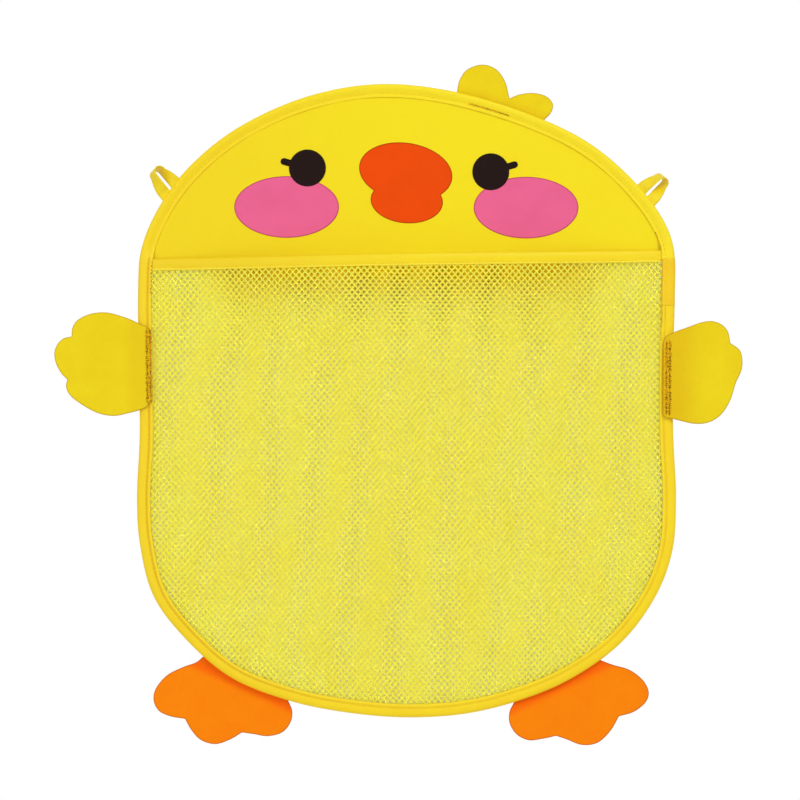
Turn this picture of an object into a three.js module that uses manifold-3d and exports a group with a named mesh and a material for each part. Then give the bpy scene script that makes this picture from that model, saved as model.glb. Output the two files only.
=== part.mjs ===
// A bath toy organizer: a hanging mesh bag in the shape of a chick, with felt wings, feet and a tuft.
// Millimetres, +Z up. The bag hangs in the XZ plane and faces -Y, and the wall behind it is the plane y = 0.
// The origin lies on the wall, level with the tips of the two hanging loops.
import * as THREE from "three";
import { mergeVertices } from "three/addons/utils/BufferGeometryUtils.js";
import Module from "manifold-3d";

const wasm = await Module();
wasm.setup();

// The bag
const bagWidth = 350;
const bagHeight = 412;
// Its outer edge from the crown round by the left side, as shares of half the width and of the height.
const outlineShares = [
  [-0.055, 0.0], [-0.248, 0.007], [-0.452, 0.032], [-0.671, 0.081], [-0.839, 0.145], [-0.939, 0.209],
  [-0.988, 0.265], [-0.998, 0.325], [-0.995, 0.451], [-0.992, 0.555], [-1.002, 0.656], [-0.991, 0.726],
  [-0.939, 0.809], [-0.811, 0.88], [-0.649, 0.937], [-0.426, 0.974], [-0.211, 0.992], [0.005, 0.999],
  [0.22, 0.993], [0.421, 0.972], [0.61, 0.938], [0.799, 0.88], [0.928, 0.805], [0.987, 0.735],
  [1.0, 0.656], [0.99, 0.555], [0.988, 0.451], [0.995, 0.341], [0.99, 0.256], [0.944, 0.208],
  [0.827, 0.146], [0.666, 0.09], [0.458, 0.048], [0.187, 0.013],
];
const outlineStations = 120;
const outlineDivisions = 1500;

// Thicknesses, and the gap that keeps layers that touch apart
const gap = 0.3;
const tapeThickness = 0.7;
const panelThickness = 0.8;
const selvedgeThickness = 0.8;
const strandThickness = 0.6;
const feltThickness = 2;
const printThickness = 0.3;

// The tapes that bind the edge all round and the mouth of the pocket
const bindingWidth = 8.5;
const mouthTapeWidth = 7.8;
const mouthDown = 114.4; // from the crown to the middle of the tape, at the bag's centre line
const mouthRise = 4.5; // how much higher the tape's right end is than its left end
const mouthStations = 40;

// The two nets
const pocketDepth = 22; // how far the front net stands forward at the middle of the mouth
const cellWidth = 37;
const cellHeight = 43;
const strandWidth = 2;
const selvedgeWidth = 3;

// The printed face: places as shares of half the bag's width and of its height, sizes in millimetres
const eyeRadius = 12;
const eyePlaceShares = { left: [-0.369, 0.1325], right: [0.312, 0.1385] };
const lashThickness = 4.6;
const lashReach = { left: [-17.1, 3.9], right: [17.4, 4] };
const cheekWidth = 68;
const cheekHeight = 40;
const cheekPlaceShares = { left: [-0.446, 0.194], right: [0.443, 0.195] };
const beakUpper = { width: 61, height: 38 };
const beakLower = { width: 47, height: 29 };
const beakUpperPlaceShares = [-0.004, 0.139];
const beakLowerPlaceShares = [0, 0.1845];
const beakTilt = THREE.MathUtils.degToRad(-3);
const printStations = 40;

// The hanging loops: a ribbon folded into a loop, both ends side by side at the bag's edge
const ribbonWidth = 8;
const ribbonThickness = 0.8;
const loopSpread = 9.4; // between the middles of the two strands
const loopReach = 15.5;
const loopTurn = THREE.MathUtils.degToRad(35);
const loopPlaceShares = { left: 0.1298, right: 0.854 };
const strandStations = 9;
const bendStations = 10;

// The felt shapes. place is where each sits on the edge, as a share of the way round. Its outline is given
// lobe by lobe, as shares of its width along the edge and of its reach away from the edge.
const feltPieces = {
  wing_left: {
    placeShare: 0.2243,
    width: 67,
    reach: 54,
    inFront: true,
    lobeShares: [
      [[-0.327, -0.155], [-0.381, -0.105], [-0.406, -0.025], [-0.454, 0.09], [-0.519, 0.346], [-0.522, 0.482],
        [-0.501, 0.603], [-0.449, 0.724], [-0.376, 0.783], [-0.294, 0.793]],
      [[-0.294, 0.793], [-0.277, 0.89], [-0.226, 0.96], [-0.154, 1.0], [-0.092, 1.001], [-0.019, 0.977],
        [0.064, 0.921], [0.122, 0.851]],
      [[0.122, 0.851], [0.185, 0.869], [0.262, 0.834], [0.33, 0.746], [0.449, 0.499], [0.48, 0.299],
        [0.458, 0.138], [0.425, -0.022], [0.395, -0.098], [0.333, -0.155]],
    ],
  },
  wing_right: {
    placeShare: 0.7575,
    width: 67,
    reach: 45,
    inFront: true,
    lobeShares: [
      [[-0.35, -0.155], [-0.399, -0.122], [-0.416, -0.002], [-0.462, 0.32], [-0.447, 0.514], [-0.378, 0.681],
        [-0.24, 0.815], [-0.065, 0.898]],
      [[-0.065, 0.898], [0.062, 0.979], [0.152, 0.992], [0.251, 0.955], [0.323, 0.817]],
      [[0.323, 0.817], [0.435, 0.78], [0.497, 0.699], [0.532, 0.57], [0.524, 0.416], [0.478, 0.222],
        [0.421, -0.002], [0.378, -0.115], [0.309, -0.155]],
    ],
  },
  foot_left: {
    placeShare: 0.4095,
    width: 89,
    reach: 45,
    rootDepth: 9.5,
    lobeShares: [
      [[-0.365, -0.12], [-0.394, -0.001], [-0.465, 0.14], [-0.553, 0.364], [-0.583, 0.631], [-0.554, 0.779],
        [-0.492, 0.866], [-0.403, 0.867], [-0.296, 0.812]],
      [[-0.296, 0.812], [-0.228, 0.911], [-0.133, 0.991], [-0.021, 0.962], [0.066, 0.81], [0.124, 0.645]],
      [[0.124, 0.645], [0.209, 0.596], [0.308, 0.537], [0.394, 0.391], [0.414, 0.198], [0.39, 0.061],
        [0.332, -0.05]],
    ],
  },
  foot_right: {
    placeShare: 0.5743,
    width: 91,
    reach: 45,
    rootDepth: 9.5,
    lobeShares: [
      [[-0.333, -0.056], [-0.396, 0.047], [-0.43, 0.19], [-0.422, 0.374], [-0.364, 0.531], [-0.263, 0.605],
        [-0.17, 0.649]],
      [[-0.17, 0.649], [-0.116, 0.754], [-0.03, 0.928], [0.073, 0.995], [0.192, 0.926], [0.296, 0.785]],
      [[0.296, 0.785], [0.407, 0.818], [0.516, 0.763], [0.56, 0.667], [0.567, 0.511], [0.536, 0.338],
        [0.494, 0.217], [0.413, 0.073], [0.347, -0.067]],
    ],
  },
  tuft: {
    placeShare: 0.9405,
    width: 63,
    reach: 21,
    rootDepth: 7,
    lobeShares: [
      [[-0.425, -0.033], [-0.466, 0.241], [-0.461, 0.498], [-0.375, 0.672], [-0.235, 0.654], [-0.093, 0.464],
        [-0.013, 0.26]],
      [[-0.013, 0.26], [0.087, 0.718], [0.214, 0.983], [0.363, 0.982], [0.497, 0.686], [0.536, 0.304],
        [0.523, -0.058]],
    ],
  },
};
const pointsPerLobe = 14;
const hingeSides = 12;

// Each layer's back face, as a distance in front of the wall, from the wall forwards
const rootFeltOut = 0;
const bindingOut = feltThickness + gap;
const backLayerOut = bindingOut + tapeThickness + gap;
const printOut = backLayerOut + panelThickness + gap;
const mouthTapeOut = backLayerOut + Math.max(panelThickness, selvedgeThickness) + gap;
const frontLayerOut = mouthTapeOut + tapeThickness + gap;
const bindingFront = frontLayerOut + selvedgeThickness + gap + tapeThickness;
const wingFeltOut = bindingFront + gap;
const layerInset = tapeThickness + gap; // from the bag's outer edge to the edges of the layers inside the binding

const wellInFront = pocketDepth + bindingFront + bagWidth; // a cutting block reaches past everything in front

const yellowFabric = new THREE.MeshStandardMaterial({ color: 0xf4e025, roughness: 0.62, metalness: 0 });
const yellowTape = new THREE.MeshStandardMaterial({ color: 0xf3d530, roughness: 0.48, metalness: 0 });
const yellowNet = new THREE.MeshStandardMaterial({ color: 0xead53c, roughness: 0.6, metalness: 0 });
const yellowFelt = new THREE.MeshStandardMaterial({ color: 0xeed42a, roughness: 0.95, metalness: 0 });
const orangeFelt = new THREE.MeshStandardMaterial({ color: 0xfb8908, roughness: 0.95, metalness: 0 });
const darkPrint = new THREE.MeshStandardMaterial({ color: 0x271918, roughness: 0.6, metalness: 0 });
const pinkPrint = new THREE.MeshStandardMaterial({ color: 0xeb6693, roughness: 0.6, metalness: 0 });
const orangePrint = new THREE.MeshStandardMaterial({ color: 0xef4e0e, roughness: 0.6, metalness: 0 });

// Turns a closed geometry into a solid for booleans, and back.
function toSolid(geometry) {
  const bare = geometry.clone();
  bare.deleteAttribute("normal");
  bare.deleteAttribute("uv");
  const merged = mergeVertices(bare, gap / 1000);
  const triVerts = new Uint32Array(merged.index.array);
  return new wasm.Manifold(
    new wasm.Mesh({ numProp: 3, vertProperties: merged.attributes.position.array, triVerts }),
  );
}

function toGeometry(solid) {
  const mesh = solid.getMesh();
  const geometry = new THREE.BufferGeometry();
  geometry.setAttribute("position", new THREE.BufferAttribute(new Float32Array(mesh.vertProperties), 3));
  geometry.setIndex(new THREE.BufferAttribute(new Uint32Array(mesh.triVerts), 1));
  return geometry;
}

// Makes a geometry from points and triangles, turned so that its faces point outwards.
function closedGeometry(points, triangles) {
  let volume = 0;
  for (let i = 0; i < triangles.length; i += 3) {
    const [a, b, c] = triangles.slice(i, i + 3).map((index) => points[index]);
    volume += a.dot(new THREE.Vector3().crossVectors(b, c));
  }
  const faces = volume < 0 ? triangles.toReversed() : triangles;
  const geometry = new THREE.BufferGeometry();
  const positions = new Float32Array(points.flatMap((p) => [p.x, p.y, p.z]));
  geometry.setAttribute("position", new THREE.BufferAttribute(positions, 3));
  geometry.setIndex(faces);
  return geometry;
}

// Carries a flat section along stations, each an origin and the directions of the section's two axes.
function sweep(section, stations, closed) {
  const points = stations.flatMap(({ origin, across, up }) =>
    section.map(([a, b]) => origin.clone().addScaledVector(across, a).addScaledVector(up, b)),
  );
  const sides = section.length;
  const triangles = [];
  const spans = closed ? stations.length : stations.length - 1;
  for (let i = 0; i < spans; i++) {
    const here = i * sides;
    const there = ((i + 1) % stations.length) * sides;
    for (let j = 0; j < sides; j++) {
      const next = (j + 1) % sides;
      triangles.push(here + j, here + next, there + next, here + j, there + next, there + j);
    }
  }
  if (!closed) {
    const flat = section.map(([a, b]) => new THREE.Vector2(a, b));
    const far = (stations.length - 1) * sides;
    for (const [a, b, c] of THREE.ShapeUtils.triangulateShape(flat, [])) {
      triangles.push(c, b, a, far + a, far + b, far + c);
    }
  }
  return closedGeometry(points, triangles);
}

// A flat plate with the outline of the points, its back face at the distance out from the wall.
function plate(points, out, thickness) {
  const shape = new THREE.Shape(points.map((p) => new THREE.Vector2(p.x, p.z)));
  const geometry = new THREE.ExtrudeGeometry(shape, { depth: thickness, bevelEnabled: false });
  return geometry.rotateX(Math.PI / 2).translate(0, -out, 0);
}

// The bag's edge
const edge = new THREE.CatmullRomCurve3(
  outlineShares.map(([across, down]) => new THREE.Vector3((across * bagWidth) / 2, 0, -down * bagHeight)),
  true,
  "centripetal",
);
edge.arcLengthDivisions = outlineDivisions;

// The place at a share of the way round the edge, the direction along it and the direction away from the bag.
function edgeFrame(share) {
  const along = edge.getTangentAt(share);
  return { point: edge.getPointAt(share), along, outward: new THREE.Vector3(along.z, 0, -along.x) };
}

function edgePoints(inset) {
  return Array.from({ length: outlineStations }, (_, i) => {
    const { point, outward } = edgeFrame(i / outlineStations);
    return point.addScaledVector(outward, -inset);
  });
}

// The height of the mouth tape's middle line at a distance from the bag's centre line.
function mouthHeight(x) {
  return -mouthDown + (mouthRise * x) / bagWidth;
}

// Keeps the part of an outline on one side of a line that runs parallel to the mouth tape's middle line.
function cutAlongMouth(points, shift, above) {
  const side = above ? 1 : -1;
  const depth = (p) => side * (p.z - mouthHeight(p.x) - shift);
  return points.flatMap((p, i) => {
    const next = points[(i + 1) % points.length];
    const [here, there] = [depth(p), depth(next)];
    const kept = here >= 0 ? [p] : [];
    return here * there < 0 ? [...kept, p.clone().lerp(next, here / (here - there))] : kept;
  });
}

// Adds points to the long straight edges of an outline.
function withShortEdges(points, longest) {
  return points.flatMap((p, i) => {
    const next = points[(i + 1) % points.length];
    const parts = Math.ceil(p.distanceTo(next) / longest);
    return Array.from({ length: parts }, (_, k) => p.clone().lerp(next, k / parts));
  });
}

// The limits of an outline at a height: where its left side and its right side are.
function limitsAt(points, z) {
  const crossings = points.flatMap((p, i) => {
    const next = points[(i + 1) % points.length];
    return p.z > z === next.z > z ? [] : [p.x + ((next.x - p.x) * (z - p.z)) / (next.z - p.z)];
  });
  return [Math.min(...crossings), Math.max(...crossings)];
}

// How far the front net stands forward: nothing at the binding, most at the middle of the mouth.
const pocketEdge = edgePoints(bindingWidth);
const pocketFloor = Math.min(...pocketEdge.map((p) => p.z));
function bulge(x, z) {
  if (z <= pocketFloor) return 0;
  const [left, right] = limitsAt(pocketEdge, Math.min(z, mouthHeight(x)));
  const share = THREE.MathUtils.clamp((x - left) / (right - left), 0, 1);
  const rise = Math.min((z - pocketFloor) / (mouthHeight(x) - pocketFloor), 1);
  return pocketDepth * Math.sin(Math.PI * share) ** 2 * Math.sin((Math.PI / 2) * rise) ** 2;
}

function noBulge() {
  return 0;
}

// A diamond lattice of flat strands over the whole bag. The corners of each crossing carry the strands on to
// the next crossing, so the lattice is one closed skin.
function lattice(out, forward) {
  const stepX = cellWidth / 2;
  const stepZ = cellHeight / 2;
  const slope = Math.atan2(stepZ, stepX);
  const halfAcross = strandWidth / 2 / Math.sin(slope);
  const halfUp = strandWidth / 2 / Math.cos(slope);
  const corners = [[0, halfUp], [halfAcross, 0], [0, -halfUp], [-halfAcross, 0]];
  const columns = Math.ceil(bagWidth / 2 / stepX) + 1;
  const rows = Math.ceil(bagHeight / stepZ) + 1;
  const front = [];
  const back = [];
  const first = new Map();
  for (let column = -columns; column <= columns; column++) {
    for (let row = 0; row <= rows; row++) {
      if ((column + row) % 2 !== 0) continue;
      first.set(`${column},${row}`, front.length);
      for (const [a, b] of corners) {
        const x = column * stepX + a;
        const z = b - row * stepZ;
        const y = -out - forward(x, z);
        back.push(new THREE.Vector3(x, y, z));
        front.push(new THREE.Vector3(x, y - strandThickness, z));
      }
    }
  }
  const [north, east, south, west] = [0, 1, 2, 3];
  const faces = [];
  for (const [key, here] of first) {
    const [column, row] = key.split(",").map(Number);
    faces.push([here + east, here + north, here + west, here + south]);
    const upRight = first.get(`${column + 1},${row - 1}`);
    const upLeft = first.get(`${column - 1},${row - 1}`);
    if (upRight !== undefined) faces.push([here + east, upRight + south, upRight + west, here + north]);
    if (upLeft !== undefined) faces.push([here + north, upLeft + east, upLeft + south, here + west]);
  }
  const used = new Set(faces.flatMap((face) => face.map((a, i) => `${a},${face[(i + 1) % face.length]}`)));
  const behind = front.length;
  const triangles = [];
  for (const face of faces) {
    const [a, b, c, d] = face;
    triangles.push(a, b, c, a, c, d);
    triangles.push(behind + c, behind + b, behind + a, behind + d, behind + c, behind + a);
    face.forEach((from, i) => {
      const to = face[(i + 1) % face.length];
      if (used.has(`${to},${from}`)) return;
      triangles.push(to, from, behind + from, to, behind + from, behind + to);
    });
  }
  return closedGeometry([...front, ...back], triangles);
}

// A net cut to an outline, with a woven selvedge round its edge.
function net(outline, out, forward) {
  const points = withShortEdges(outline, cellWidth / 2);
  const stations = points.map((p, i) => {
    const before = points[(i + points.length - 1) % points.length];
    const after = points[(i + 1) % points.length];
    const into = p.clone().sub(before).normalize();
    const away = after.clone().sub(p).normalize();
    const along = into.clone().add(away).normalize();
    const across = new THREE.Vector3(-along.z, 0, along.x).divideScalar(along.dot(away));
    const origin = new THREE.Vector3(p.x, -out - forward(p.x, p.z), p.z);
    return { origin, across, up: new THREE.Vector3(0, -1, 0) };
  });
  const section = [[0, 0], [selvedgeWidth, 0], [selvedgeWidth, selvedgeThickness], [0, selvedgeThickness]];
  const selvedge = toSolid(sweep(section, stations, true));
  const strandsOut = out + (selvedgeThickness - strandThickness) / 2;
  const block = toSolid(plate(points, 0, wellInFront));
  return toGeometry(toSolid(lattice(strandsOut, forward)).intersect(block).add(selvedge));
}

// A tape folded over an edge, open on the far side of the fold: its section from fold to lips.
function foldedTapeSection(width, thickness) {
  return [
    [0, 0], [width, 0], [width, tapeThickness], [tapeThickness, tapeThickness],
    [tapeThickness, thickness - tapeThickness], [width, thickness - tapeThickness], [width, thickness], [0, thickness],
  ];
}

function perimeterBinding() {
  const stations = Array.from({ length: outlineStations }, (_, i) => {
    const { point, outward } = edgeFrame(i / outlineStations);
    const origin = new THREE.Vector3(point.x, -bindingOut, point.z);
    return { origin, across: outward.negate(), up: new THREE.Vector3(0, -1, 0) };
  });
  return sweep(foldedTapeSection(bindingWidth, bindingFront - bindingOut), stations, true);
}

// The tape over the front net's upper edge. It is swept past both sides of the bag, then cut at the binding.
function mouthBinding() {
  const thickness = 2 * (tapeThickness + gap) + selvedgeThickness;
  const stations = Array.from({ length: mouthStations + 1 }, (_, i) => {
    const x = (i / mouthStations - 1 / 2) * bagWidth;
    const middle = mouthHeight(x);
    const origin = new THREE.Vector3(x, -mouthTapeOut - bulge(x, middle), middle + mouthTapeWidth / 2);
    return { origin, across: new THREE.Vector3(0, 0, -1), up: new THREE.Vector3(0, -1, 0) };
  });
  const tape = toSolid(sweep(foldedTapeSection(mouthTapeWidth, thickness), stations, false));
  const between = toSolid(plate(edgePoints(bindingWidth + gap), 0, wellInFront));
  return toGeometry(tape.intersect(between));
}

// The printed face
function facePlace([across, down]) {
  return new THREE.Vector3((across * bagWidth) / 2, 0, -down * bagHeight);
}

function ellipse(centre, width, height, turn) {
  return Array.from({ length: printStations }, (_, i) => {
    const angle = (2 * Math.PI * i) / printStations;
    const p = new THREE.Vector3((Math.cos(angle) * width) / 2, 0, (Math.sin(angle) * height) / 2);
    return p.applyAxisAngle(new THREE.Vector3(0, 1, 0), -turn).add(centre);
  });
}

// An eye with its lash. A grown one, wider by a margin all round, cuts its place in the cheek.
function eye(side, margin) {
  const centre = facePlace(eyePlaceShares[side]);
  const [x, z] = lashReach[side];
  const out = printOut - margin;
  const thickness = printThickness + 2 * margin;
  const ball = plate(ellipse(centre, 2 * (eyeRadius + margin), 2 * (eyeRadius + margin), 0), out, thickness);
  const lash = new THREE.BoxGeometry(Math.hypot(x, z), thickness, lashThickness + 2 * margin);
  lash.translate(Math.hypot(x, z) / 2 + margin, -out - thickness / 2, 0);
  lash.rotateY(-Math.atan2(z, x)).translate(centre.x, 0, centre.z);
  return toSolid(ball).add(toSolid(lash));
}

function cheek(side) {
  const film = plate(
    ellipse(facePlace(cheekPlaceShares[side]), cheekWidth, cheekHeight, 0),
    printOut,
    printThickness,
  );
  return toGeometry(toSolid(film).subtract(eye(side, gap)));
}

function beak() {
  const [upper, lower] = [
    [beakUpperPlaceShares, beakUpper],
    [beakLowerPlaceShares, beakLower],
  ].map(([shares, { width, height }]) =>
    toSolid(plate(ellipse(facePlace(shares), width, height, beakTilt), printOut, printThickness)),
  );
  return toGeometry(upper.add(lower));
}

// A hanging loop. Its strands leave the edge flat, then turn so that the eye opens to the front.
function hangingLoop({ point, along, outward }) {
  const forward = new THREE.Vector3(0, -1, 0);
  const straight = loopReach - loopSpread / 2;
  const turned = (angle) => along.clone().multiplyScalar(Math.cos(angle)).addScaledVector(forward, Math.sin(angle));
  const hinge = loopHinge({ point, outward });
  const station = (height, sideways, progress, bend) => {
    const eased = THREE.MathUtils.smoothstep(progress, 0, 1);
    const spreadWay = turned(loopTurn * eased);
    const width = turned((loopTurn - Math.PI / 2) * eased);
    const face = new THREE.Vector3().crossVectors(outward, width).normalize();
    const thick = face.multiplyScalar(Math.sin(bend)).addScaledVector(outward, Math.cos(bend));
    const origin = hinge.clone().addScaledVector(outward, height).addScaledVector(spreadWay, sideways);
    return { origin, across: width, up: thick };
  };
  const up = Array.from({ length: strandStations }, (_, i) => {
    const progress = i / strandStations;
    return station(progress * straight, loopSpread / 2, progress, Math.PI / 2);
  });
  const over = Array.from({ length: bendStations + 1 }, (_, i) => {
    const bend = Math.PI / 2 - (i / bendStations) * Math.PI;
    const height = straight + (Math.cos(bend) * loopSpread) / 2;
    return station(height, (Math.sin(bend) * loopSpread) / 2, 1, bend);
  });
  const down = Array.from({ length: strandStations }, (_, i) => {
    const progress = 1 - (i + 1) / strandStations;
    return station(progress * straight, -loopSpread / 2, progress, -Math.PI / 2);
  });
  const [w, t] = [ribbonWidth / 2, ribbonThickness / 2];
  const section = [[-w, -t], [w, -t], [w, t], [-w, t]];
  return sweep(section, [...up, ...over, ...down], false);
}

// A loop turns about the line where its ribbon leaves the binding. It stands off the wall by half its own
// depth, so that its rear edge just meets the wall.
function loopHinge({ point, outward }) {
  const depth = ribbonWidth * Math.cos(loopTurn) + loopSpread * Math.sin(loopTurn) + ribbonThickness;
  const hinge = point.clone().addScaledVector(outward, ribbonThickness / 2 + gap);
  return hinge.setY(-depth / 2);
}

// The whole felt shape, flat, in the bag's plane.
function feltOutline({ placeShare, width, reach, rootDepth, lobeShares }) {
  const { point, along, outward } = edgeFrame(placeShare);
  const place = ([a, b]) =>
    point
      .clone()
      .addScaledVector(along, a * width)
      .addScaledVector(outward, b * reach);
  const lobes = lobeShares.flatMap((lobe) => {
    const curve = new THREE.CatmullRomCurve3(lobe.map(place), false, "centripetal");
    return curve.getPoints(pointsPerLobe).slice(0, -1);
  });
  const start = place(lobeShares[0][0]);
  const end = place(lobeShares.at(-1).at(-1));
  if (rootDepth === undefined) return [...lobes, end];
  const sunk = (p) => p.clone().addScaledVector(outward, -rootDepth - p.clone().sub(point).dot(outward));
  return [...lobes, end, sunk(end), sunk(start)];
}

// The felt bends on a line just outside the bag's edge. What lies beyond swings, and the sewn edge stays.
// The swinging part ends in a half round on that line, so it turns clear of the sewn edge.
function feltPiece(piece) {
  const { point, along, outward } = edgeFrame(piece.placeShare);
  const out = piece.inFront ? wingFeltOut : rootFeltOut;
  const radius = feltThickness / 2;
  const hinge = point.clone().addScaledVector(outward, gap + radius).setY(-out - radius);
  const whole = toSolid(plate(feltOutline(piece), out, feltThickness));
  const size = 2 * (piece.width + piece.reach);
  const turn = Math.atan2(-along.z, along.x);
  // A block on the outer side of the line that lies a distance from the bend.
  const beyond = (distance) => {
    const block = new THREE.BoxGeometry(size, size, size).translate(0, 0, size / 2).rotateY(turn);
    if (new THREE.Vector3(0, 0, 1).applyAxisAngle(new THREE.Vector3(0, 1, 0), turn).dot(outward) < 0) {
      block.rotateY(Math.PI);
    }
    const middle = hinge.clone().addScaledVector(outward, distance);
    return toSolid(block.translate(middle.x, middle.y, middle.z));
  };
  const roll = new THREE.CylinderGeometry(radius, radius, size, hingeSides).rotateZ(Math.PI / 2).rotateY(turn);
  const halfRound = toSolid(roll.translate(hinge.x, hinge.y, hinge.z)).intersect(whole);
  return {
    hinge,
    axis: along.clone(),
    flap: toGeometry(whole.intersect(beyond(0)).add(halfRound)),
    sewnEdge: toGeometry(whole.subtract(beyond(-radius - gap))),
  };
}

const bag = new THREE.Group();
const hinges = {};

function addPiece(name, geometry, material) {
  const mesh = new THREE.Mesh(geometry, material);
  mesh.name = name;
  bag.add(mesh);
}

// Fabric, nets and tapes
const layerEdge = edgePoints(layerInset);
addPiece("head_panel", plate(cutAlongMouth(layerEdge, 0, true), backLayerOut, panelThickness), yellowFabric);
addPiece("back_net", net(cutAlongMouth(layerEdge, -gap, false), backLayerOut, noBulge), yellowNet);
const mouthTop = mouthTapeWidth / 2 - layerInset;
addPiece("front_net", net(cutAlongMouth(layerEdge, mouthTop, false), frontLayerOut, bulge), yellowNet);
addPiece("mouth_binding", mouthBinding(), yellowTape);
addPiece("perimeter_binding", perimeterBinding(), yellowTape);

// Face
for (const side of ["left", "right"]) {
  addPiece(`eye_${side}`, toGeometry(eye(side, 0)), darkPrint);
  addPiece(`cheek_${side}`, cheek(side), pinkPrint);
}
addPiece("beak", beak(), orangePrint);

// Felt
for (const [name, piece] of Object.entries(feltPieces)) {
  const { hinge, axis, flap, sewnEdge } = feltPiece(piece);
  const felt = name.startsWith("foot") ? orangeFelt : yellowFelt;
  addPiece(name, flap, felt);
  addPiece(`${name}_sewn_edge`, sewnEdge, felt);
  hinges[name] = { hinge, axis };
}

// Hanging loops
const tips = Object.entries(loopPlaceShares).map(([side, share]) => {
  const frame = edgeFrame(share);
  const name = `hanging_loop_${side}`;
  addPiece(name, hangingLoop(frame), yellowTape);
  hinges[name] = { hinge: loopHinge(frame), axis: frame.along };
  return loopHinge(frame).addScaledVector(frame.outward, loopReach);
});

bag.position.z = -(tips[0].z + tips[1].z) / 2;
bag.userData.hinges = hinges;

const organizer = new THREE.Group();
organizer.add(bag);
export default organizer;
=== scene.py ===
"""A hanging mesh bag for bath toys in the shape of a chick.

Metres, +Z up. The bag faces -Y and the wall behind it is the plane y = 0. Shapes are planned in the bag's own
plane in millimetres: x to the right, z up from the crown, and out, the distance in front of the wall.
"""
import math

import bmesh
import bpy
import numpy as np
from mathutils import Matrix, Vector
from mathutils.geometry import delaunay_2d_cdt


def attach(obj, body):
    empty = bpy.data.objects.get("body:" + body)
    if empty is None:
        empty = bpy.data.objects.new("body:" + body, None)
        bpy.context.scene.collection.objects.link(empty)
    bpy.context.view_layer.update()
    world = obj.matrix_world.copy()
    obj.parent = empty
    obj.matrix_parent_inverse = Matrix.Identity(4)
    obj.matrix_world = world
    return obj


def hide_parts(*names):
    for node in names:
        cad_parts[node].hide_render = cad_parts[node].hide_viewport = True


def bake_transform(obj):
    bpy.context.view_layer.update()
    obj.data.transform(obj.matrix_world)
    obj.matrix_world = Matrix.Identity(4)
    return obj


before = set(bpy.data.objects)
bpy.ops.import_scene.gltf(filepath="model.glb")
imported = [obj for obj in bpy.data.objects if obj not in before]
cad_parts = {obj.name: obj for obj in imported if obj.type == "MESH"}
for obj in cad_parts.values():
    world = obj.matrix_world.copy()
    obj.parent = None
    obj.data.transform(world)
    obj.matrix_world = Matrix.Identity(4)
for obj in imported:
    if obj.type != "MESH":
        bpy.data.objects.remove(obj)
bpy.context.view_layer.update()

MM = 0.001
crown_height = 60.2537

# The bag
bag_width = 350
bag_height = 412
outline_shares = [
    (-0.055, 0.0), (-0.248, 0.007), (-0.452, 0.032), (-0.671, 0.081), (-0.839, 0.145), (-0.939, 0.209),
    (-0.988, 0.265), (-0.998, 0.325), (-0.995, 0.451), (-0.992, 0.555), (-1.002, 0.656), (-0.991, 0.726),
    (-0.939, 0.809), (-0.811, 0.88), (-0.649, 0.937), (-0.426, 0.974), (-0.211, 0.992), (0.005, 0.999),
    (0.22, 0.993), (0.421, 0.972), (0.61, 0.938), (0.799, 0.88), (0.928, 0.805), (0.987, 0.735),
    (1.0, 0.656), (0.99, 0.555), (0.988, 0.451), (0.995, 0.341), (0.99, 0.256), (0.944, 0.208),
    (0.827, 0.146), (0.666, 0.09), (0.458, 0.048), (0.187, 0.013),
]

# Layers, as distances in front of the wall
felt_thickness = 2
panel_out = 3.3
panel_thickness = 0.8
print_thickness = 0.16
mouth_tape_out = 4.4
front_net_out = 5.8
back_net_out = 3.7
hug_depth = 2.0
wing_out = 7.5

# How far the layers' rims lie inside the bag's edge and run past the mouth's line, and the rims' spacing
panel_inset = 1.0
net_inset = 2.0
panel_past_mouth = 1.5
back_net_past_mouth = 0.9
front_net_past_mouth = 2.4
rim_spacing = 2.5

# Tapes and nets
binding_width = 8.5
mouth_tape_width = 7.8
shade_depth = 36
shade_reach = 150
mouth_down = 114.7
mouth_rise = 5.9
pocket_depth = 22
front_cell = (3.94, 4.5)
back_cell = (3.5, 4.47)
front_strand_size = (1.05, 0.78)
back_strand_size = (2.3, 0.6)

# The printed face
eye_radius = 12
eye_places = {"left": (-0.369, 0.1325), "right": (0.312, 0.1385)}
lash_reach = {"left": (-15.2, 4.2), "right": (15.4, 4.6)}
lash_width = 4.4
cheek_size = (68, 40)
cheek_places = {"left": (-0.446, 0.194), "right": (0.443, 0.195)}
beak_upper_size = (61, 38)
beak_upper_place = (-0.004, 0.139)
beak_lower_size = (47, 29)
beak_lower_place = (0, 0.1845)
beak_upper_tilt = -8.8
beak_lower_tilt = -4

# The hanging loops
ribbon_width = 8
ribbon_thickness = 0.7
loop_spread = 9.4
loop_reach = 15.5
loop_turn = 35
loop_slit = 1.7
loop_tip_turn = 36
loop_tip_radius = 3.8
loop_root = 4.0
loop_places = {"left": 0.1298, "right": 0.854}
loop_lean = {"left": -15, "right": 5}

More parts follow.
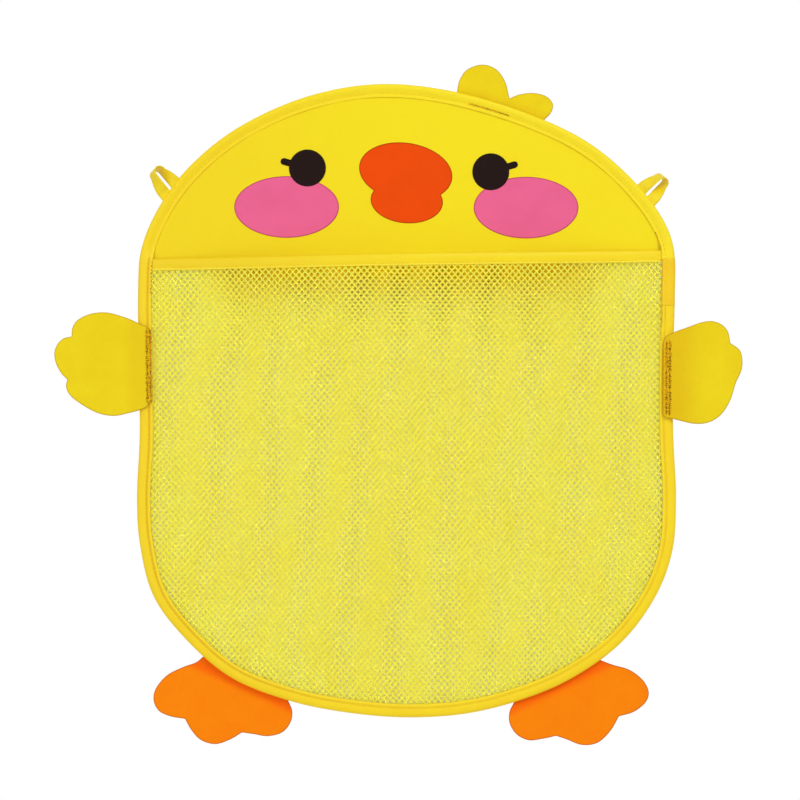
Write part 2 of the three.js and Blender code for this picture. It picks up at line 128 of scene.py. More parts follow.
# The felt shapes: place on the edge, width along it, reach away from it, and the outline lobe by lobe.
# root_shade is how strong the painted shade at the root is, and how many millimetres that takes to fade.
felt_shapes = {
    "wing_left": {
        "place": 0.2243, "width": 67, "reach": 54, "in_front": True, "root_shade": (0.3, 10),
        "lobes": [
            [(-0.327, -0.155), (-0.381, -0.105), (-0.406, -0.025), (-0.454, 0.09), (-0.519, 0.346),
             (-0.522, 0.482), (-0.501, 0.603), (-0.449, 0.724), (-0.376, 0.783), (-0.294, 0.793)],
            [(-0.294, 0.793), (-0.277, 0.89), (-0.226, 0.96), (-0.154, 1.0), (-0.092, 1.001),
             (-0.019, 0.977), (0.064, 0.921), (0.122, 0.851)],
            [(0.122, 0.851), (0.185, 0.869), (0.262, 0.834), (0.33, 0.746), (0.449, 0.499),
             (0.48, 0.299), (0.458, 0.138), (0.425, -0.022), (0.395, -0.098), (0.333, -0.155)],
        ],
    },
    "wing_right": {
        "place": 0.7575, "width": 67, "reach": 45, "in_front": True, "root_shade": (0.6, 22),
        "lobes": [
            [(-0.35, -0.155), (-0.399, -0.122), (-0.416, -0.002), (-0.462, 0.32), (-0.447, 0.514),
             (-0.378, 0.681), (-0.24, 0.815), (-0.065, 0.898)],
            [(-0.065, 0.898), (0.062, 0.979), (0.152, 0.992), (0.251, 0.955), (0.323, 0.817)],
            [(0.323, 0.817), (0.435, 0.78), (0.497, 0.699), (0.532, 0.57), (0.524, 0.416),
             (0.478, 0.222), (0.421, -0.002), (0.378, -0.115), (0.309, -0.155)],
        ],
    },
    "foot_left": {
        "place": 0.4095, "width": 89, "reach": 45, "root_depth": 9.5, "root_shade": (0.75, 5),
        "lobes": [
            [(-0.365, -0.12), (-0.394, -0.001), (-0.465, 0.14), (-0.553, 0.364), (-0.583, 0.631),
             (-0.554, 0.779), (-0.492, 0.866), (-0.403, 0.867), (-0.296, 0.812)],
            [(-0.296, 0.812), (-0.228, 0.911), (-0.133, 0.991), (-0.021, 0.962), (0.066, 0.81),
             (0.124, 0.645)],
            [(0.124, 0.645), (0.209, 0.596), (0.308, 0.537), (0.394, 0.391), (0.414, 0.198),
             (0.39, 0.061), (0.332, -0.05)],
        ],
    },
    "foot_right": {
        "place": 0.5743, "width": 91, "reach": 45, "root_depth": 9.5, "root_shade": (0.75, 5),
        "lobes": [
            [(-0.333, -0.056), (-0.396, 0.047), (-0.43, 0.19), (-0.422, 0.374), (-0.364, 0.531),
             (-0.263, 0.605), (-0.17, 0.649)],
            [(-0.17, 0.649), (-0.116, 0.754), (-0.03, 0.928), (0.073, 0.995), (0.192, 0.926),
             (0.296, 0.785)],
            [(0.296, 0.785), (0.407, 0.818), (0.516, 0.763), (0.56, 0.667), (0.567, 0.511),
             (0.536, 0.338), (0.494, 0.217), (0.413, 0.073), (0.347, -0.067)],
        ],
    },
    "tuft": {
        "place": 0.9405, "width": 63, "reach": 21, "root_depth": 7, "root_shade": (0.15, 5),
        "lobes": [
            [(-0.425, -0.033), (-0.466, 0.241), (-0.461, 0.498), (-0.375, 0.672), (-0.235, 0.654),
             (-0.093, 0.464), (-0.013, 0.26)],
            [(-0.013, 0.26), (0.087, 0.718), (0.214, 0.983), (0.363, 0.982), (0.497, 0.686),
             (0.536, 0.304), (0.523, -0.058)],
        ],
    },
}


def new_object(name, data):
    made = bpy.data.objects.new(name, data)
    bpy.context.collection.objects.link(made)
    return made


# The camera looks square on at the bag through a long lens.
camera_distance = 2.5
view_width = 0.52
camera_data = bpy.data.cameras.new("camera")
camera_data.sensor_width = 36
camera_data.lens = camera_data.sensor_width * (camera_distance - panel_out * MM) / view_width
camera = new_object("camera", camera_data)
camera.location = (-0.0044, -camera_distance, -0.1451)
camera.rotation_euler = (math.pi / 2, 0, 0)
bpy.context.scene.camera = camera


def place(x, z, out):
    """Points in the row frame from places in the bag's plane and distances in front of the wall."""
    x, z, out = np.broadcast_arrays(*(np.asarray(value, float) for value in (x, z, out)))
    return np.stack([x * MM, -out * MM, (z + crown_height) * MM], axis=-1)


def smooth(value, low, high):
    """0 below low, 1 above high, and an S-curve between."""
    share = np.clip((value - low) / (high - low), 0, 1)
    return share * share * (3 - 2 * share)


# Curves and outlines
def spline(points, closed, steps):
    """A centripetal curve through the points, with a number of steps from each point to the next."""
    points = np.asarray(points, float)
    if closed:
        chain = np.vstack([points[-1:], points, points[:2]])
    else:
        chain = np.vstack([2 * points[:1] - points[1:2], points, 2 * points[-1:] - points[-2:-1]])
    t = np.arange(steps)[:, None] / steps
    parts = []
    for a, b, c, d in zip(chain[:-3], chain[1:-2], chain[2:-1], chain[3:]):
        before, span, after = (math.sqrt(math.dist(p, q)) for p, q in ((a, b), (b, c), (c, d)))
        leave = ((b - a) / before - (c - a) / (before + span) + (c - b) / span) * span
        arrive = ((c - b) / span - (d - b) / (span + after) + (d - c) / after) * span
        square = 3 * (c - b) - 2 * leave - arrive
        cube = 2 * (b - c) + leave + arrive
        parts.append(b + leave * t + square * t**2 + cube * t**3)
    if not closed:
        parts.append(points[-1:])
    return np.vstack(parts)


def distances_along(points, closed):
    chain = np.vstack([points, points[:1]]) if closed else points
    return chain, np.concatenate([[0], np.cumsum(np.linalg.norm(np.diff(chain, axis=0), axis=1))])


def resample(points, spacing, closed):
    """The same line with evenly spaced points."""
    chain, lengths = distances_along(points, closed)
    count = max(int(round(lengths[-1] / spacing)), 2)
    wanted = np.linspace(0, lengths[-1], count + 1)
    even = np.stack([np.interp(wanted, lengths, chain[:, i]) for i in range(chain.shape[1])], axis=1)
    return even[:-1] if closed else even


edge_line = spline([(a * bag_width / 2, -d * bag_height) for a, d in outline_shares], True, 90)
edge_chain, edge_lengths = distances_along(edge_line, True)
edge_length = edge_lengths[-1]


def edge_point(shares):
    wanted = (np.asarray(shares) % 1) * edge_length
    return np.stack([np.interp(wanted, edge_lengths, edge_chain[:, i]) for i in (0, 1)], axis=-1)


def edge_frame(shares):
    """Places on the bag's edge, the directions along it and the directions away from the bag."""
    shares = np.asarray(shares, float)
    step = 1e-4
    along = edge_point(shares + step) - edge_point(shares - step)
    along /= np.linalg.norm(along, axis=-1, keepdims=True)
    return edge_point(shares), along, np.stack([along[..., 1], -along[..., 0]], axis=-1)


def edge_points(inset, count=600):
    points, _, outward = edge_frame(np.arange(count) / count)
    return points - outward * inset


def mouth_height(x):
    return -mouth_down + mouth_rise * x / bag_width


def cut_along_mouth(points, shift, above):
    """The part of an outline above or below a line that runs with the mouth tape's middle."""
    side = 1 if above else -1
    depth = side * (points[:, 1] - mouth_height(points[:, 0]) - shift)
    kept = []
    for i, here in enumerate(depth):
        there = depth[(i + 1) % len(depth)]
        if here >= 0:
            kept.append(points[i])
        if here * there < 0:
            kept.append(points[i] + (points[(i + 1) % len(depth)] - points[i]) * here / (here - there))
    return np.array(kept)


pocket_edge = edge_points(binding_width)
pocket_floor = pocket_edge[:, 1].min()
limit_heights = np.linspace(pocket_floor + 0.5, pocket_edge[:, 1].max() - 0.5, 400)


def limits_at(z):
    following = np.roll(pocket_edge, -1, axis=0)
    crosses = (pocket_edge[:, 1] > z) != (following[:, 1] > z)
    a, b = pocket_edge[crosses], following[crosses]
    x = a[:, 0] + (b[:, 0] - a[:, 0]) * (z - a[:, 1]) / (b[:, 1] - a[:, 1])
    return x.min(), x.max()


limit_table = np.array([limits_at(z) for z in limit_heights])


def bulge(x, z):
    """How far the front net stands forward: nothing at the binding, most at the middle of the mouth."""
    height = np.minimum(z, mouth_height(x))
    left, right = (np.interp(height, limit_heights, limit_table[:, i]) for i in (0, 1))
    share = np.clip((x - left) / (right - left), 0, 1)
    rise = np.clip((z - pocket_floor) / (mouth_height(x) - pocket_floor), 0, 1)
    return pocket_depth * np.sin(math.pi * share) ** 2 * np.sin(math.pi / 2 * rise) ** 2


def in_parts(points):
    """The points in parts that are small enough to compare with a whole outline at once."""
    return np.array_split(points, max(len(points) // 1500, 1))


def nearest_distance(points, starts, run):
    """How far each point lies from the nearest of some straight runs."""
    offset = points[:, None] - starts
    t = np.clip((offset * run).sum(-1) / (run**2).sum(-1), 0, 1)
    return np.linalg.norm(offset - t[..., None] * run, axis=-1).min(1)


def distance_inside(points, loop):
    """How far each point lies from a closed outline: positive inside, negative outside."""
    following = np.roll(loop, -1, axis=0)
    run = following - loop
    found = []
    for some in in_parts(points):
        nearest = nearest_distance(some, loop, run)
        high = (loop[:, 1] > some[:, 1:]) != (following[:, 1] > some[:, 1:])
        with np.errstate(divide="ignore", invalid="ignore"):
            crossing = loop[:, 0] + run[:, 0] * (some[:, 1:] - loop[:, 1]) / run[:, 1]
        inside = (high & (some[:, :1] < crossing)).sum(1) % 2 == 1
        found.append(np.where(inside, nearest, -nearest))
    return np.concatenate(found)


def fill_outlines(loops, spacing, rows=()):
    """Triangulates closed outlines, with rows of points just inside them and an even grid in the middle.

    Gives the points, the triangles, the edges of the rim and each point's distance from the rim.
    """
    low = np.min([loop.min(0) for loop in loops], axis=0)
    high = np.max([loop.max(0) for loop in loops], axis=0)
    columns = np.arange(low[0], high[0], spacing)
    lines = np.arange(low[1], high[1], spacing * 0.87)
    x, z = np.meshgrid(columns, lines)
    x = x + np.where(np.arange(len(lines)) % 2, spacing / 2, 0)[:, None]
    grid = np.stack([x.ravel(), z.ravel()], axis=1)
    depth = np.max([distance_inside(grid, loop) for loop in loops], axis=0)
    extra = [grid[depth > (max(rows) if rows else 0) + spacing * 0.6]]
    for row in rows:
        for loop in loops:
            along = np.roll(loop, -1, axis=0) - np.roll(loop, 1, axis=0)
            along /= np.linalg.norm(along, axis=1, keepdims=True)
            inner = loop + np.stack([-along[:, 1], along[:, 0]], axis=1) * row
            reach = np.max([distance_inside(inner, other) for other in loops], axis=0)
            extra.append(inner[(reach > row * 0.96) & (reach < row * 1.04)])
    points = np.vstack([*loops, *extra])
    faces = []
    start = 0
    for loop in loops:
        faces.append(list(range(start, start + len(loop))))
        start += len(loop)
    vectors = [Vector(p) for p in points]
    result = delaunay_2d_cdt(vectors, [], faces, 1, 1e-5)
    corners = np.array([tuple(v) for v in result[0]])
    triangles = np.array([face for face in result[2] if len(face) == 3])
    a, b, c = (corners[triangles[:, i]] for i in range(3))
    turned = (b[:, 0] - a[:, 0]) * (c[:, 1] - a[:, 1]) - (b[:, 1] - a[:, 1]) * (c[:, 0] - a[:, 0])
    triangles = triangles[np.abs(turned) > 1e-9]
    turned = turned[np.abs(turned) > 1e-9]
    triangles[turned < 0] = triangles[turned < 0][:, ::-1]
    directed = {(int(t[i]), int(t[(i + 1) % 3])) for t in triangles for i in range(3)}
    rim = [(p, q) for p, q in directed if (q, p) not in directed]
    starts = np.array([corners[p] for p, _ in rim])
    ends = np.array([corners[q] for _, q in rim])
    distance = [nearest_distance(some, starts, ends - starts) for some in in_parts(corners)]
    return corners, triangles, rim, np.concatenate(distance)


# Meshes
def add_object(name, points, faces, uv=None, rim_distance=None):
    """A finished object at the origin, its place in its mesh, smooth all over."""
    mesh = bpy.data.meshes.new(name)
    mesh.from_pydata([tuple(p) for p in points], [], [tuple(int(i) for i in face) for face in faces])
    mesh.polygons.foreach_set("use_smooth", [True] * len(mesh.polygons))
    if uv is not None:
        layer = mesh.uv_layers.new(name="run")
        layer.data.foreach_set("uv", np.asarray(uv, float).ravel())
    if rim_distance is not None:
        attribute = mesh.attributes.new("rim_distance", "FLOAT", "POINT")
        attribute.data.foreach_set("value", np.asarray(rim_distance, np.float32))
    mesh.update()
    return new_object(name, mesh)


def sheet_piece(name, loops, spacing, rows, middle, half):
    """A closed sheet of cloth, felt or film. middle gives how far out its middle lies at a place, and half
    gives half its thickness at a distance from its rim."""
    flat, triangles, rim, distance = fill_outlines(loops, spacing, rows)
    x, z = flat[:, 0], flat[:, 1]
    out = middle(x, z)
    thick = half(distance)
    front = place(x, z, out + thick)
    back = place(x, z, out - thick)
    count = len(flat)
    faces = [*triangles, *(triangles[:, ::-1] + count)]
    faces += [(q, p, p + count, q + count) for p, q in rim]
    return add_object(name, np.vstack([front, back]), faces, rim_distance=np.tile(distance, 2))


def rounded(thickness, radius, edge_share):
    """Half the thickness of a sheet whose edge is rounded off over a radius."""

    def half(distance):
        share = np.clip(distance / radius, 0, 1)
        return thickness / 2 * (edge_share + (1 - edge_share) * np.sqrt(1 - (1 - share) ** 2))

    return half


def sweep(name, origins, across, up, sections, closed):
    """Carries a closed section along stations. Its UVs are metres along and metres round the section."""
    stations, sides = len(origins), sections.shape[1]
    points = origins[:, None] + (across[:, None] * sections[..., :1] + up[:, None] * sections[..., 1:]) * MM
    spans = stations if closed else stations - 1
    steps = np.linalg.norm(np.roll(origins, -1, axis=0) - origins, axis=1)
    along = np.concatenate([[0], np.cumsum(steps)])
    gaps = np.linalg.norm(np.roll(sections[0], -1, axis=0) - sections[0], axis=1) * MM
    around = np.concatenate([[0], np.cumsum(gaps)])
    faces = []
    uv = []
    for i in range(spans):
        here, there = i * sides, (i + 1) % stations * sides
        for j in range(sides):
            after = (j + 1) % sides
            faces.append((here + j, here + after, there + after, there + j))
            uv.append([(along[i], around[j]), (along[i], around[j + 1])])
            uv[-1] += [(along[i + 1], around[j + 1]), (along[i + 1], around[j])]
    if not closed:
        last = (stations - 1) * sides
        faces.append(tuple(range(sides - 1, -1, -1)))
        faces.append(tuple(range(last, last + sides)))
        uv += [[(0, around[j]) for j in range(sides - 1, -1, -1)]]
        uv += [[(along[stations - 1], around[j]) for j in range(sides)]]
    flat = points.reshape(-1, 3)
    quads = np.array(faces[: spans * sides])
    a, b, c, d = (flat[quads[:, i]] for i in range(4))
    volume = (np.einsum("ij,ij->i", a, np.cross(b, c)) + np.einsum("ij,ij->i", a, np.cross(c, d))).sum()
    if volume < 0:
        faces = [face[::-1] for face in faces]
        uv = [corner[::-1] for corner in uv]
    return add_object(name, flat, faces, uv=np.array([p for corner in uv for p in corner]))


# Shader nodes
def colour(red, green, blue):
    """A colour as a screen shows it, from 0 to 255, as the linear values that a shader takes."""
    shares = (channel / 255 for channel in (red, green, blue))
    return (*(s / 12.92 if s <= 0.04045 else ((s + 0.055) / 1.055) ** 2.4 for s in shares), 1)


def add_node(tree, kind, settings=None, **inputs):
    """A node with its settings and its inputs. An input is a value, or the output socket that it takes, and
    goes by its name, or by its number as i0."""
    node = tree.nodes.new(kind)
    for key, value in (settings or {}).items():
        setattr(node, key, value)
    for key, value in inputs.items():
        socket = node.inputs[int(key[1:])] if key[0] == "i" and key[1:].isdigit() else node.inputs[key]
        if isinstance(value, bpy.types.NodeSocket):
            tree.links.new(value, socket)
        else:
            socket.default_value = value
    return node


def calculate(tree, operation, first, second=0.0, third=0.0):
    settings = {"operation": operation}
    return add_node(tree, "ShaderNodeMath", settings, i0=first, i1=second, i2=third).outputs[0]


def multiply(tree, first, second):
    return calculate(tree, "MULTIPLY", first, second)


def split(tree, vector):
    return add_node(tree, "ShaderNodeSeparateXYZ", i0=vector).outputs


def noise(tree, where, scale, detail=2.0):
    return add_node(tree, "ShaderNodeTexNoise", Vector=where, Scale=scale, Detail=detail).outputs["Fac"]


def map_range(tree, value, low, high, start=0.0, end=1.0, soft=False):
    """Takes a value from start at low to end at high, and holds it there beyond them."""
    settings = {"interpolation_type": "SMOOTHSTEP"} if soft else None
    numbers = {"From Min": low, "From Max": high, "To Min": start, "To Max": end}
    return add_node(tree, "ShaderNodeMapRange", settings, Value=value, **numbers).outputs[0]


def mix_colours(tree, mask, first, second):
    return add_node(tree, "ShaderNodeMixRGB", Fac=mask, Color1=first, Color2=second).outputs[0]


def tint(tree, base, mask, share, tone):
    """Mixes a tone into a base by a share of a mask."""
    return mix_colours(tree, multiply(tree, mask, share), base, tone)


def add_sockets(tree, inputs, outputs):
    """Gives a node group its sockets: inputs by name, kind and value, outputs by name and kind."""
    for name, kind, value in inputs:
        socket = tree.interface.new_socket(name, in_out="INPUT", socket_type=f"NodeSocket{kind}")
        if value is not None:
            socket.default_value = value
    for name, kind in outputs:
        tree.interface.new_socket(name, in_out="OUTPUT", socket_type=f"NodeSocket{kind}")
    return tree, tree.nodes.new("NodeGroupInput").outputs, tree.nodes.new("NodeGroupOutput").inputs


def new_group(name, inputs, outputs):
    """A shader node group that puts out numbers."""
    tree = bpy.data.node_groups.new(name, "ShaderNodeTree")
    return add_sockets(tree, inputs, [(output, "Float") for output in outputs])


def make_weave_group():
    """Threads that cross over and under each other."""
    inputs = [("Place", "Vector", None), ("Pitch", "Float", 0.0005)]
    tree, given, result = new_group("woven_threads", inputs, ["Height", "Tone"])
    rate = calculate(tree, "DIVIDE", math.pi, given["Pitch"])
    parts = split(tree, given["Place"])
    waves = [calculate(tree, "SINE", multiply(tree, parts[axis], rate)) for axis in ("X", "Z")]
    height = calculate(tree, "MULTIPLY_ADD", multiply(tree, *waves), 0.5, 0.5)
    slub = noise(tree, given["Place"], 420.0)
    tree.links.new(multiply(tree, height, slub), result["Height"])
    tree.links.new(slub, result["Tone"])
    return tree


def make_fibre_group():
    """The tangled fibres of felt, coarse and fine."""
    inputs = [("Place", "Vector", None), ("Scale", "Float", 1.0)]
    tree, given, result = new_group("tangled_fibres", inputs, ["Height"])
    bend = add_node(tree, "ShaderNodeTexNoise", Vector=given["Place"], Scale=160.0).outputs["Color"]
    bent = add_node(
        tree, "ShaderNodeMixRGB", {"blend_type": "ADD"}, Fac=0.006, Color1=given["Place"], Color2=bend
    ).outputs[0]
    fine, coarse = (
        noise(tree, bent, multiply(tree, given["Scale"], rate), detail)
        for rate, detail in ((2600.0, 3.0), (420.0, 2.0))
    )
    tree.links.new(calculate(tree, "ADD", fine, coarse), result["Height"])
    return tree


def make_patch_group():
    """Broad, soft patches of slightly different dye and wear."""
    inputs = [("Place", "Vector", None), ("Size", "Float", 0.05)]
    tree, given, result = new_group("soft_patches", inputs, ["Mask"])
    rate = calculate(tree, "DIVIDE", 1.0, given["Size"])
    tree.links.new(map_range(tree, noise(tree, given["Place"], rate, 3.0), 0.32, 0.68), result["Mask"])
    return tree


def make_rib_group():
    """The fine ribs across a tape, from metres along it."""
    inputs = [("Run", "Vector", None), ("Pitch", "Float", 0.0006)]
    tree, given, result = new_group("tape_ribs", inputs, ["Height"])
    rate = calculate(tree, "DIVIDE", 2 * math.pi, given["Pitch"])
    wave = calculate(tree, "SINE", multiply(tree, split(tree, given["Run"])["X"], rate))
    tree.links.new(multiply(tree, wave, noise(tree, given["Run"], 500.0)), result["Height"])
    return tree


weave_group = make_weave_group()
fibre_group = make_fibre_group()
patch_group = make_patch_group()
rib_group = make_rib_group()


def add_group(tree, group, **inputs):
    return add_node(tree, "ShaderNodeGroup", {"node_tree": group}, **inputs).outputs


def soft_patches(tree, where, size):
    return add_group(tree, patch_group, Place=where, Size=size)["Mask"]


def new_material(name, roughness, **fixed):
    """A material with its shader, whose fixed values are set on the shader's own sockets."""
    material = bpy.data.materials.new(name)
    material.use_nodes = True
    tree = material.node_tree
    shader = tree.nodes["Principled BSDF"]
    shader.inputs["Roughness"].default_value = roughness
    for key, value in fixed.items():
        shader.inputs[key.replace("_", " ")].default_value = value
    return material, tree, shader, tree.nodes.new("ShaderNodeTexCoord").outputs["Object"]


def set_base(tree, shader, base):
    tree.links.new(base, shader.inputs["Base Color"])


def add_bump(tree, shader, height, depth, strength):
    bump = add_node(tree, "ShaderNodeBump", Strength=strength, Distance=depth, Height=height)
    tree.links.new(bump.outputs[0], shader.inputs["Normal"])


def rim_mask(tree, reach):
    """1 on a piece's rim, falling to 0 at a distance from it in millimetres."""
    distance = add_node(tree, "ShaderNodeAttribute", {"attribute_name": "rim_distance"}).outputs["Fac"]
    return map_range(tree, distance, 0.0, reach, 1.0, 0.0)


def band_mask(tree, value, middle, half_width):
    """1 where a value meets the middle, falling to 0 at half_width from it."""
    distance = calculate(tree, "ABSOLUTE", calculate(tree, "SUBTRACT", value, middle))
    return map_range(tree, distance, 0.0, half_width, 1.0, 0.0, soft=True)


def left_shade_mask(tree, where):
    """0 in the bag's middle, rising to 1 at its left edge, where painted shade darkens the colour."""
    return map_range(tree, split(tree, where)["X"], 0.02, -0.16, soft=True)


def head_mask(tree, where):
    """1 beside the head panel, 0 below the mouth, where the tape was cut from a warmer roll."""
    low, high = ((crown_height - mouth_down + above) * MM for above in (1.0, 2.2))
    return map_range(tree, split(tree, where)["Z"], low, high, soft=True)


def open_mouth_shade_mask(tree, where):
    """1 just below the mouth's middle, where the pocket stands open and the back net carries painted shade,
    falling to 0 downwards and sideways.
    """
    parts = split(tree, where)
    top = (crown_height - mouth_down) * MM
    down = map_range(tree, parts["Z"], top - shade_depth * MM, top - 4 * MM, soft=True)
    sideways = calculate(tree, "ABSOLUTE", parts["X"])
    inwards = map_range(tree, sideways, shade_reach * MM, shade_reach * 0.62 * MM, soft=True)
    return multiply(tree, down, inwards)


def make_head_material():
    """Smooth woven cloth, with painted shade towards the left."""
    material, tree, shader, where = new_material(
        "head_fabric", 0.62, Sheen_Weight=0.02, Sheen_Roughness=0.4, Specular_IOR_Level=0.15
    )
    threads = add_group(tree, weave_group, Place=where, Pitch=0.0004)
    base = mix_colours(tree, soft_patches(tree, where, 0.09), colour(247, 227, 18), colour(247, 222, 22))
    # Painted shade towards the left.
    base = mix_colours(tree, left_shade_mask(tree, where), base, colour(243, 214, 26))
    set_base(tree, shader, tint(tree, base, threads["Tone"], 0.2, colour(249, 230, 48)))
    add_bump(tree, shader, threads["Height"], 0.00006, 0.6)
    return material


def make_tape_material(name, first, second, left, lip, lip_share, lip_reach, edge=False):
    """Satin tape with fine ribs across it, painted shade towards the left and a painted tone on its front
    lip: a thin shadow line, on the mouth tape a highlight. The edge tape is paler beside the head; below it,
    painted shade lies in the seam's valley and a painted highlight on the rim by the lip."""
    material, tree, shader, where = new_material(
        name, 0.42, Sheen_Weight=0.02, Sheen_Roughness=0.35, Specular_IOR_Level=0.28
    )
    run = add_node(tree, "ShaderNodeUVMap", {"uv_map": "run"}).outputs[0]
    across = split(tree, run)["Y"]
    ribs = add_group(tree, rib_group, Run=run, Pitch=0.0007)["Height"]
    patches = soft_patches(tree, where, 0.02)
    left_shade = left_shade_mask(tree, where)
    base = mix_colours(tree, patches, colour(*first), colour(*second))
    if edge:
        head = head_mask(tree, where)
        base = tint(tree, base, head, 0.85, colour(251, 229, 20))
    # Painted shade towards the left.
    base = tint(tree, base, left_shade, 0.7, colour(*left))
    base = tint(tree, base, ribs, 0.3, colour(250, 228, 70))
    if edge:
        # Below the head: painted shade in the seam's valley, deeper towards the left, and a painted highlight
        # on the rim by the lip.
        below = calculate(tree, "SUBTRACT", 1.0, head)
        seam = multiply(tree, below, band_mask(tree, across, 0.0027, 0.0013))
        depth = calculate(tree, "ADD", multiply(tree, left_shade, 0.5), 0.25)
        base = tint(tree, base, seam, depth, colour(216, 166, 12))
        rim = multiply(tree, below, band_mask(tree, across, 0.0, 0.0018))
        base = tint(tree, base, rim, 0.5, colour(255, 230, 50))
    # Painted tone on the front lip: a thin shadow line, on the mouth tape a highlight.
    near_lip = map_range(tree, across, lip_reach + 0.0004, lip_reach)
    set_base(tree, shader, tint(tree, base, near_lip, lip_share, colour(*lip)))
    tree.links.new(map_range(tree, patches, 0.0, 1.0, 0.38, 0.5), shader.inputs["Roughness"])
    add_bump(tree, shader, ribs, 0.00008, 0.5)
    return material


def make_net_material(name, yarn, shade, lets_through, glow, deep=None):
    """Yarn with soft patches that lets some light through and glows faintly in its own colour as painted
    light. Where the pocket stands open the back net carries painted shade.
    """
    material, tree, shader, where = new_material(
        name, 0.7, Specular_IOR_Level=0.1, Subsurface_Weight=0.6, Subsurface_Scale=0.0012,
        Subsurface_Radius=(1.0, 0.85, 0.25), Transmission_Weight=lets_through, IOR=1.05,
        Emission_Strength=glow,
    )
    base = mix_colours(tree, soft_patches(tree, where, 0.03), colour(*yarn), colour(*shade))
    if deep:
        # Painted shade inside the open pocket.
        base = mix_colours(tree, open_mouth_shade_mask(tree, where), base, colour(*deep))
    set_base(tree, shader, base)
    # Painted light: the yarn glows faintly in its own colour.
    tree.links.new(base, shader.inputs["Emission Color"])
    add_bump(tree, shader, noise(tree, where, 1800.0), 0.0001, 0.5)
    return material


def make_felt_material(name, main, deep, root, edge):
    """Felt with painted shade where it is sewn on, and whose cut rim is darker."""
    material, tree, shader, where = new_material(
        name, 0.95, Sheen_Weight=0.06, Sheen_Roughness=0.6, Specular_IOR_Level=0.08
    )
    base = tint(tree, colour(*main), soft_patches(tree, where, 0.018), 0.6, colour(*deep))
    nearness = add_node(tree, "ShaderNodeAttribute", {"attribute_name": "painted_root_shade"}).outputs["Fac"]
    # Painted shade where the felt meets the bag.
    base = mix_colours(tree, nearness, base, colour(*root))
    set_base(tree, shader, tint(tree, base, rim_mask(tree, 0.9), 0.75, colour(*edge)))
    add_bump(tree, shader, add_group(tree, fibre_group, Place=where, Scale=1.0)["Height"], 0.00022, 0.6)
    return material


def make_print_material(name, ink, outline, roughness):
    """Ink that has sunk a little into the weave, with a darker outline."""
    material, tree, shader, where = new_material(name, roughness, Specular_IOR_Level=0.08)
    base = tint(tree, colour(*ink), soft_patches(tree, where, 0.02), 0.08, colour(*outline))
    set_base(tree, shader, mix_colours(tree, rim_mask(tree, 0.85), base, colour(*outline)))
    add_bump(tree, shader, add_group(tree, weave_group, Place=where, Pitch=0.0004)["Height"], 0.00004, 0.5)
    return material


def make_thread_material(name, main, deep, cells=900.0):
    """Twisted thread, with painted shade between its strands."""
    material, tree, shader, where = new_material(name, 0.6, Specular_IOR_Level=0.1)
    strand = noise(tree, where, cells)
    # Painted shade between the strands.
    shade_between_strands = map_range(tree, strand, 0.38, 0.6)
    set_base(tree, shader, mix_colours(tree, shade_between_strands, colour(*main), colour(*deep)))
    add_bump(tree, shader, strand, 0.0001, 0.5)
    return material


head_material = make_head_material()
# Tapes: two tones of the dye, the painted shade tone at the left, the lip's painted tone (a shadow line, on
# the mouth tape a highlight), its share and its reach in metres
tape_material = make_tape_material(
    "edge_tape", (252, 221, 16), (250, 215, 18), (247, 212, 16), (200, 148, 16), 0.35, 0.0002, edge=True
)
mouth_tape_material = make_tape_material(
    "mouth_tape", (249, 222, 18), (248, 217, 18), (238, 204, 14), (255, 234, 60), 0.7, 0.0011
)
lap_material = make_tape_material(
    "tape_lap", (250, 210, 14), (245, 200, 12), (246, 200, 12), (206, 146, 14), 0.5, 0.0008
)
ribbon_material = make_tape_material(
    "loop_ribbon", (248, 224, 24), (240, 208, 24), (246, 216, 20), (200, 158, 24), 0.6, 0.0002
)
# Front and back yarn: the last number is a faint painted glow.
front_net_material = make_net_material("front_net_yarn", (255, 249, 100), (255, 245, 90), 0.3, 0.08)
# The back net carries a deeper painted shade just below the mouth's middle, inside the open pocket.
back_net_material = make_net_material(
    "back_net_yarn", (255, 250, 160), (255, 246, 142), 0.15, 0.01, deep=(234, 198, 8)
)
# Felt: main dye, second dye, painted shade at the root, cut rim.
yellow_felt_material = make_felt_material(
    "yellow_felt", (242, 217, 26), (236, 206, 22), (226, 180, 18), (186, 136, 14)
)
orange_felt_material = make_felt_material(
    "orange_felt", (255, 138, 0), (255, 128, 0), (255, 96, 0), (176, 74, 6)
)
dark_ink_material = make_print_material("dark_ink", (30, 14, 13), (22, 8, 7), 0.5)
pink_ink_material = make_print_material("pink_ink", (238, 103, 150), (164, 36, 62), 0.55)
orange_ink_material = make_print_material("orange_ink", (241, 77, 0), (140, 30, 0), 0.55)
# Threads: main tone and the painted shade between the strands.
yellow_thread_material = make_thread_material("yellow_thread", (248, 218, 36), (236, 196, 24))
brown_thread_material = make_thread_material("brown_thread", (232, 160, 14), (104, 50, 3), 640.0)
orange_thread_material = make_thread_material("orange_thread", (240, 172, 16), (222, 136, 10))


def finish_piece(piece, material, body, nodes=()):
    """Gives a piece its material and its body, and hides the CAD nodes that it stands for."""
    piece.data.materials.clear()
    piece.data.materials.append(material)
    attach(piece, body)
    if nodes:
        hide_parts(*nodes)
    return piece


# The head panel and the printed face
def pucker(x, z, distance):
    """The slight waves that the seam draws into the panel."""
    return 0.16 * np.sin(x / 9.5 + 0.6 * np.sin(z / 17)) * np.exp(-distance / 14)


def panel_middle(x, z):
    points = np.stack([x, z], axis=1)
    return panel_out + panel_thickness / 2 + pucker(x, z, distance_inside(points, binding_inner))


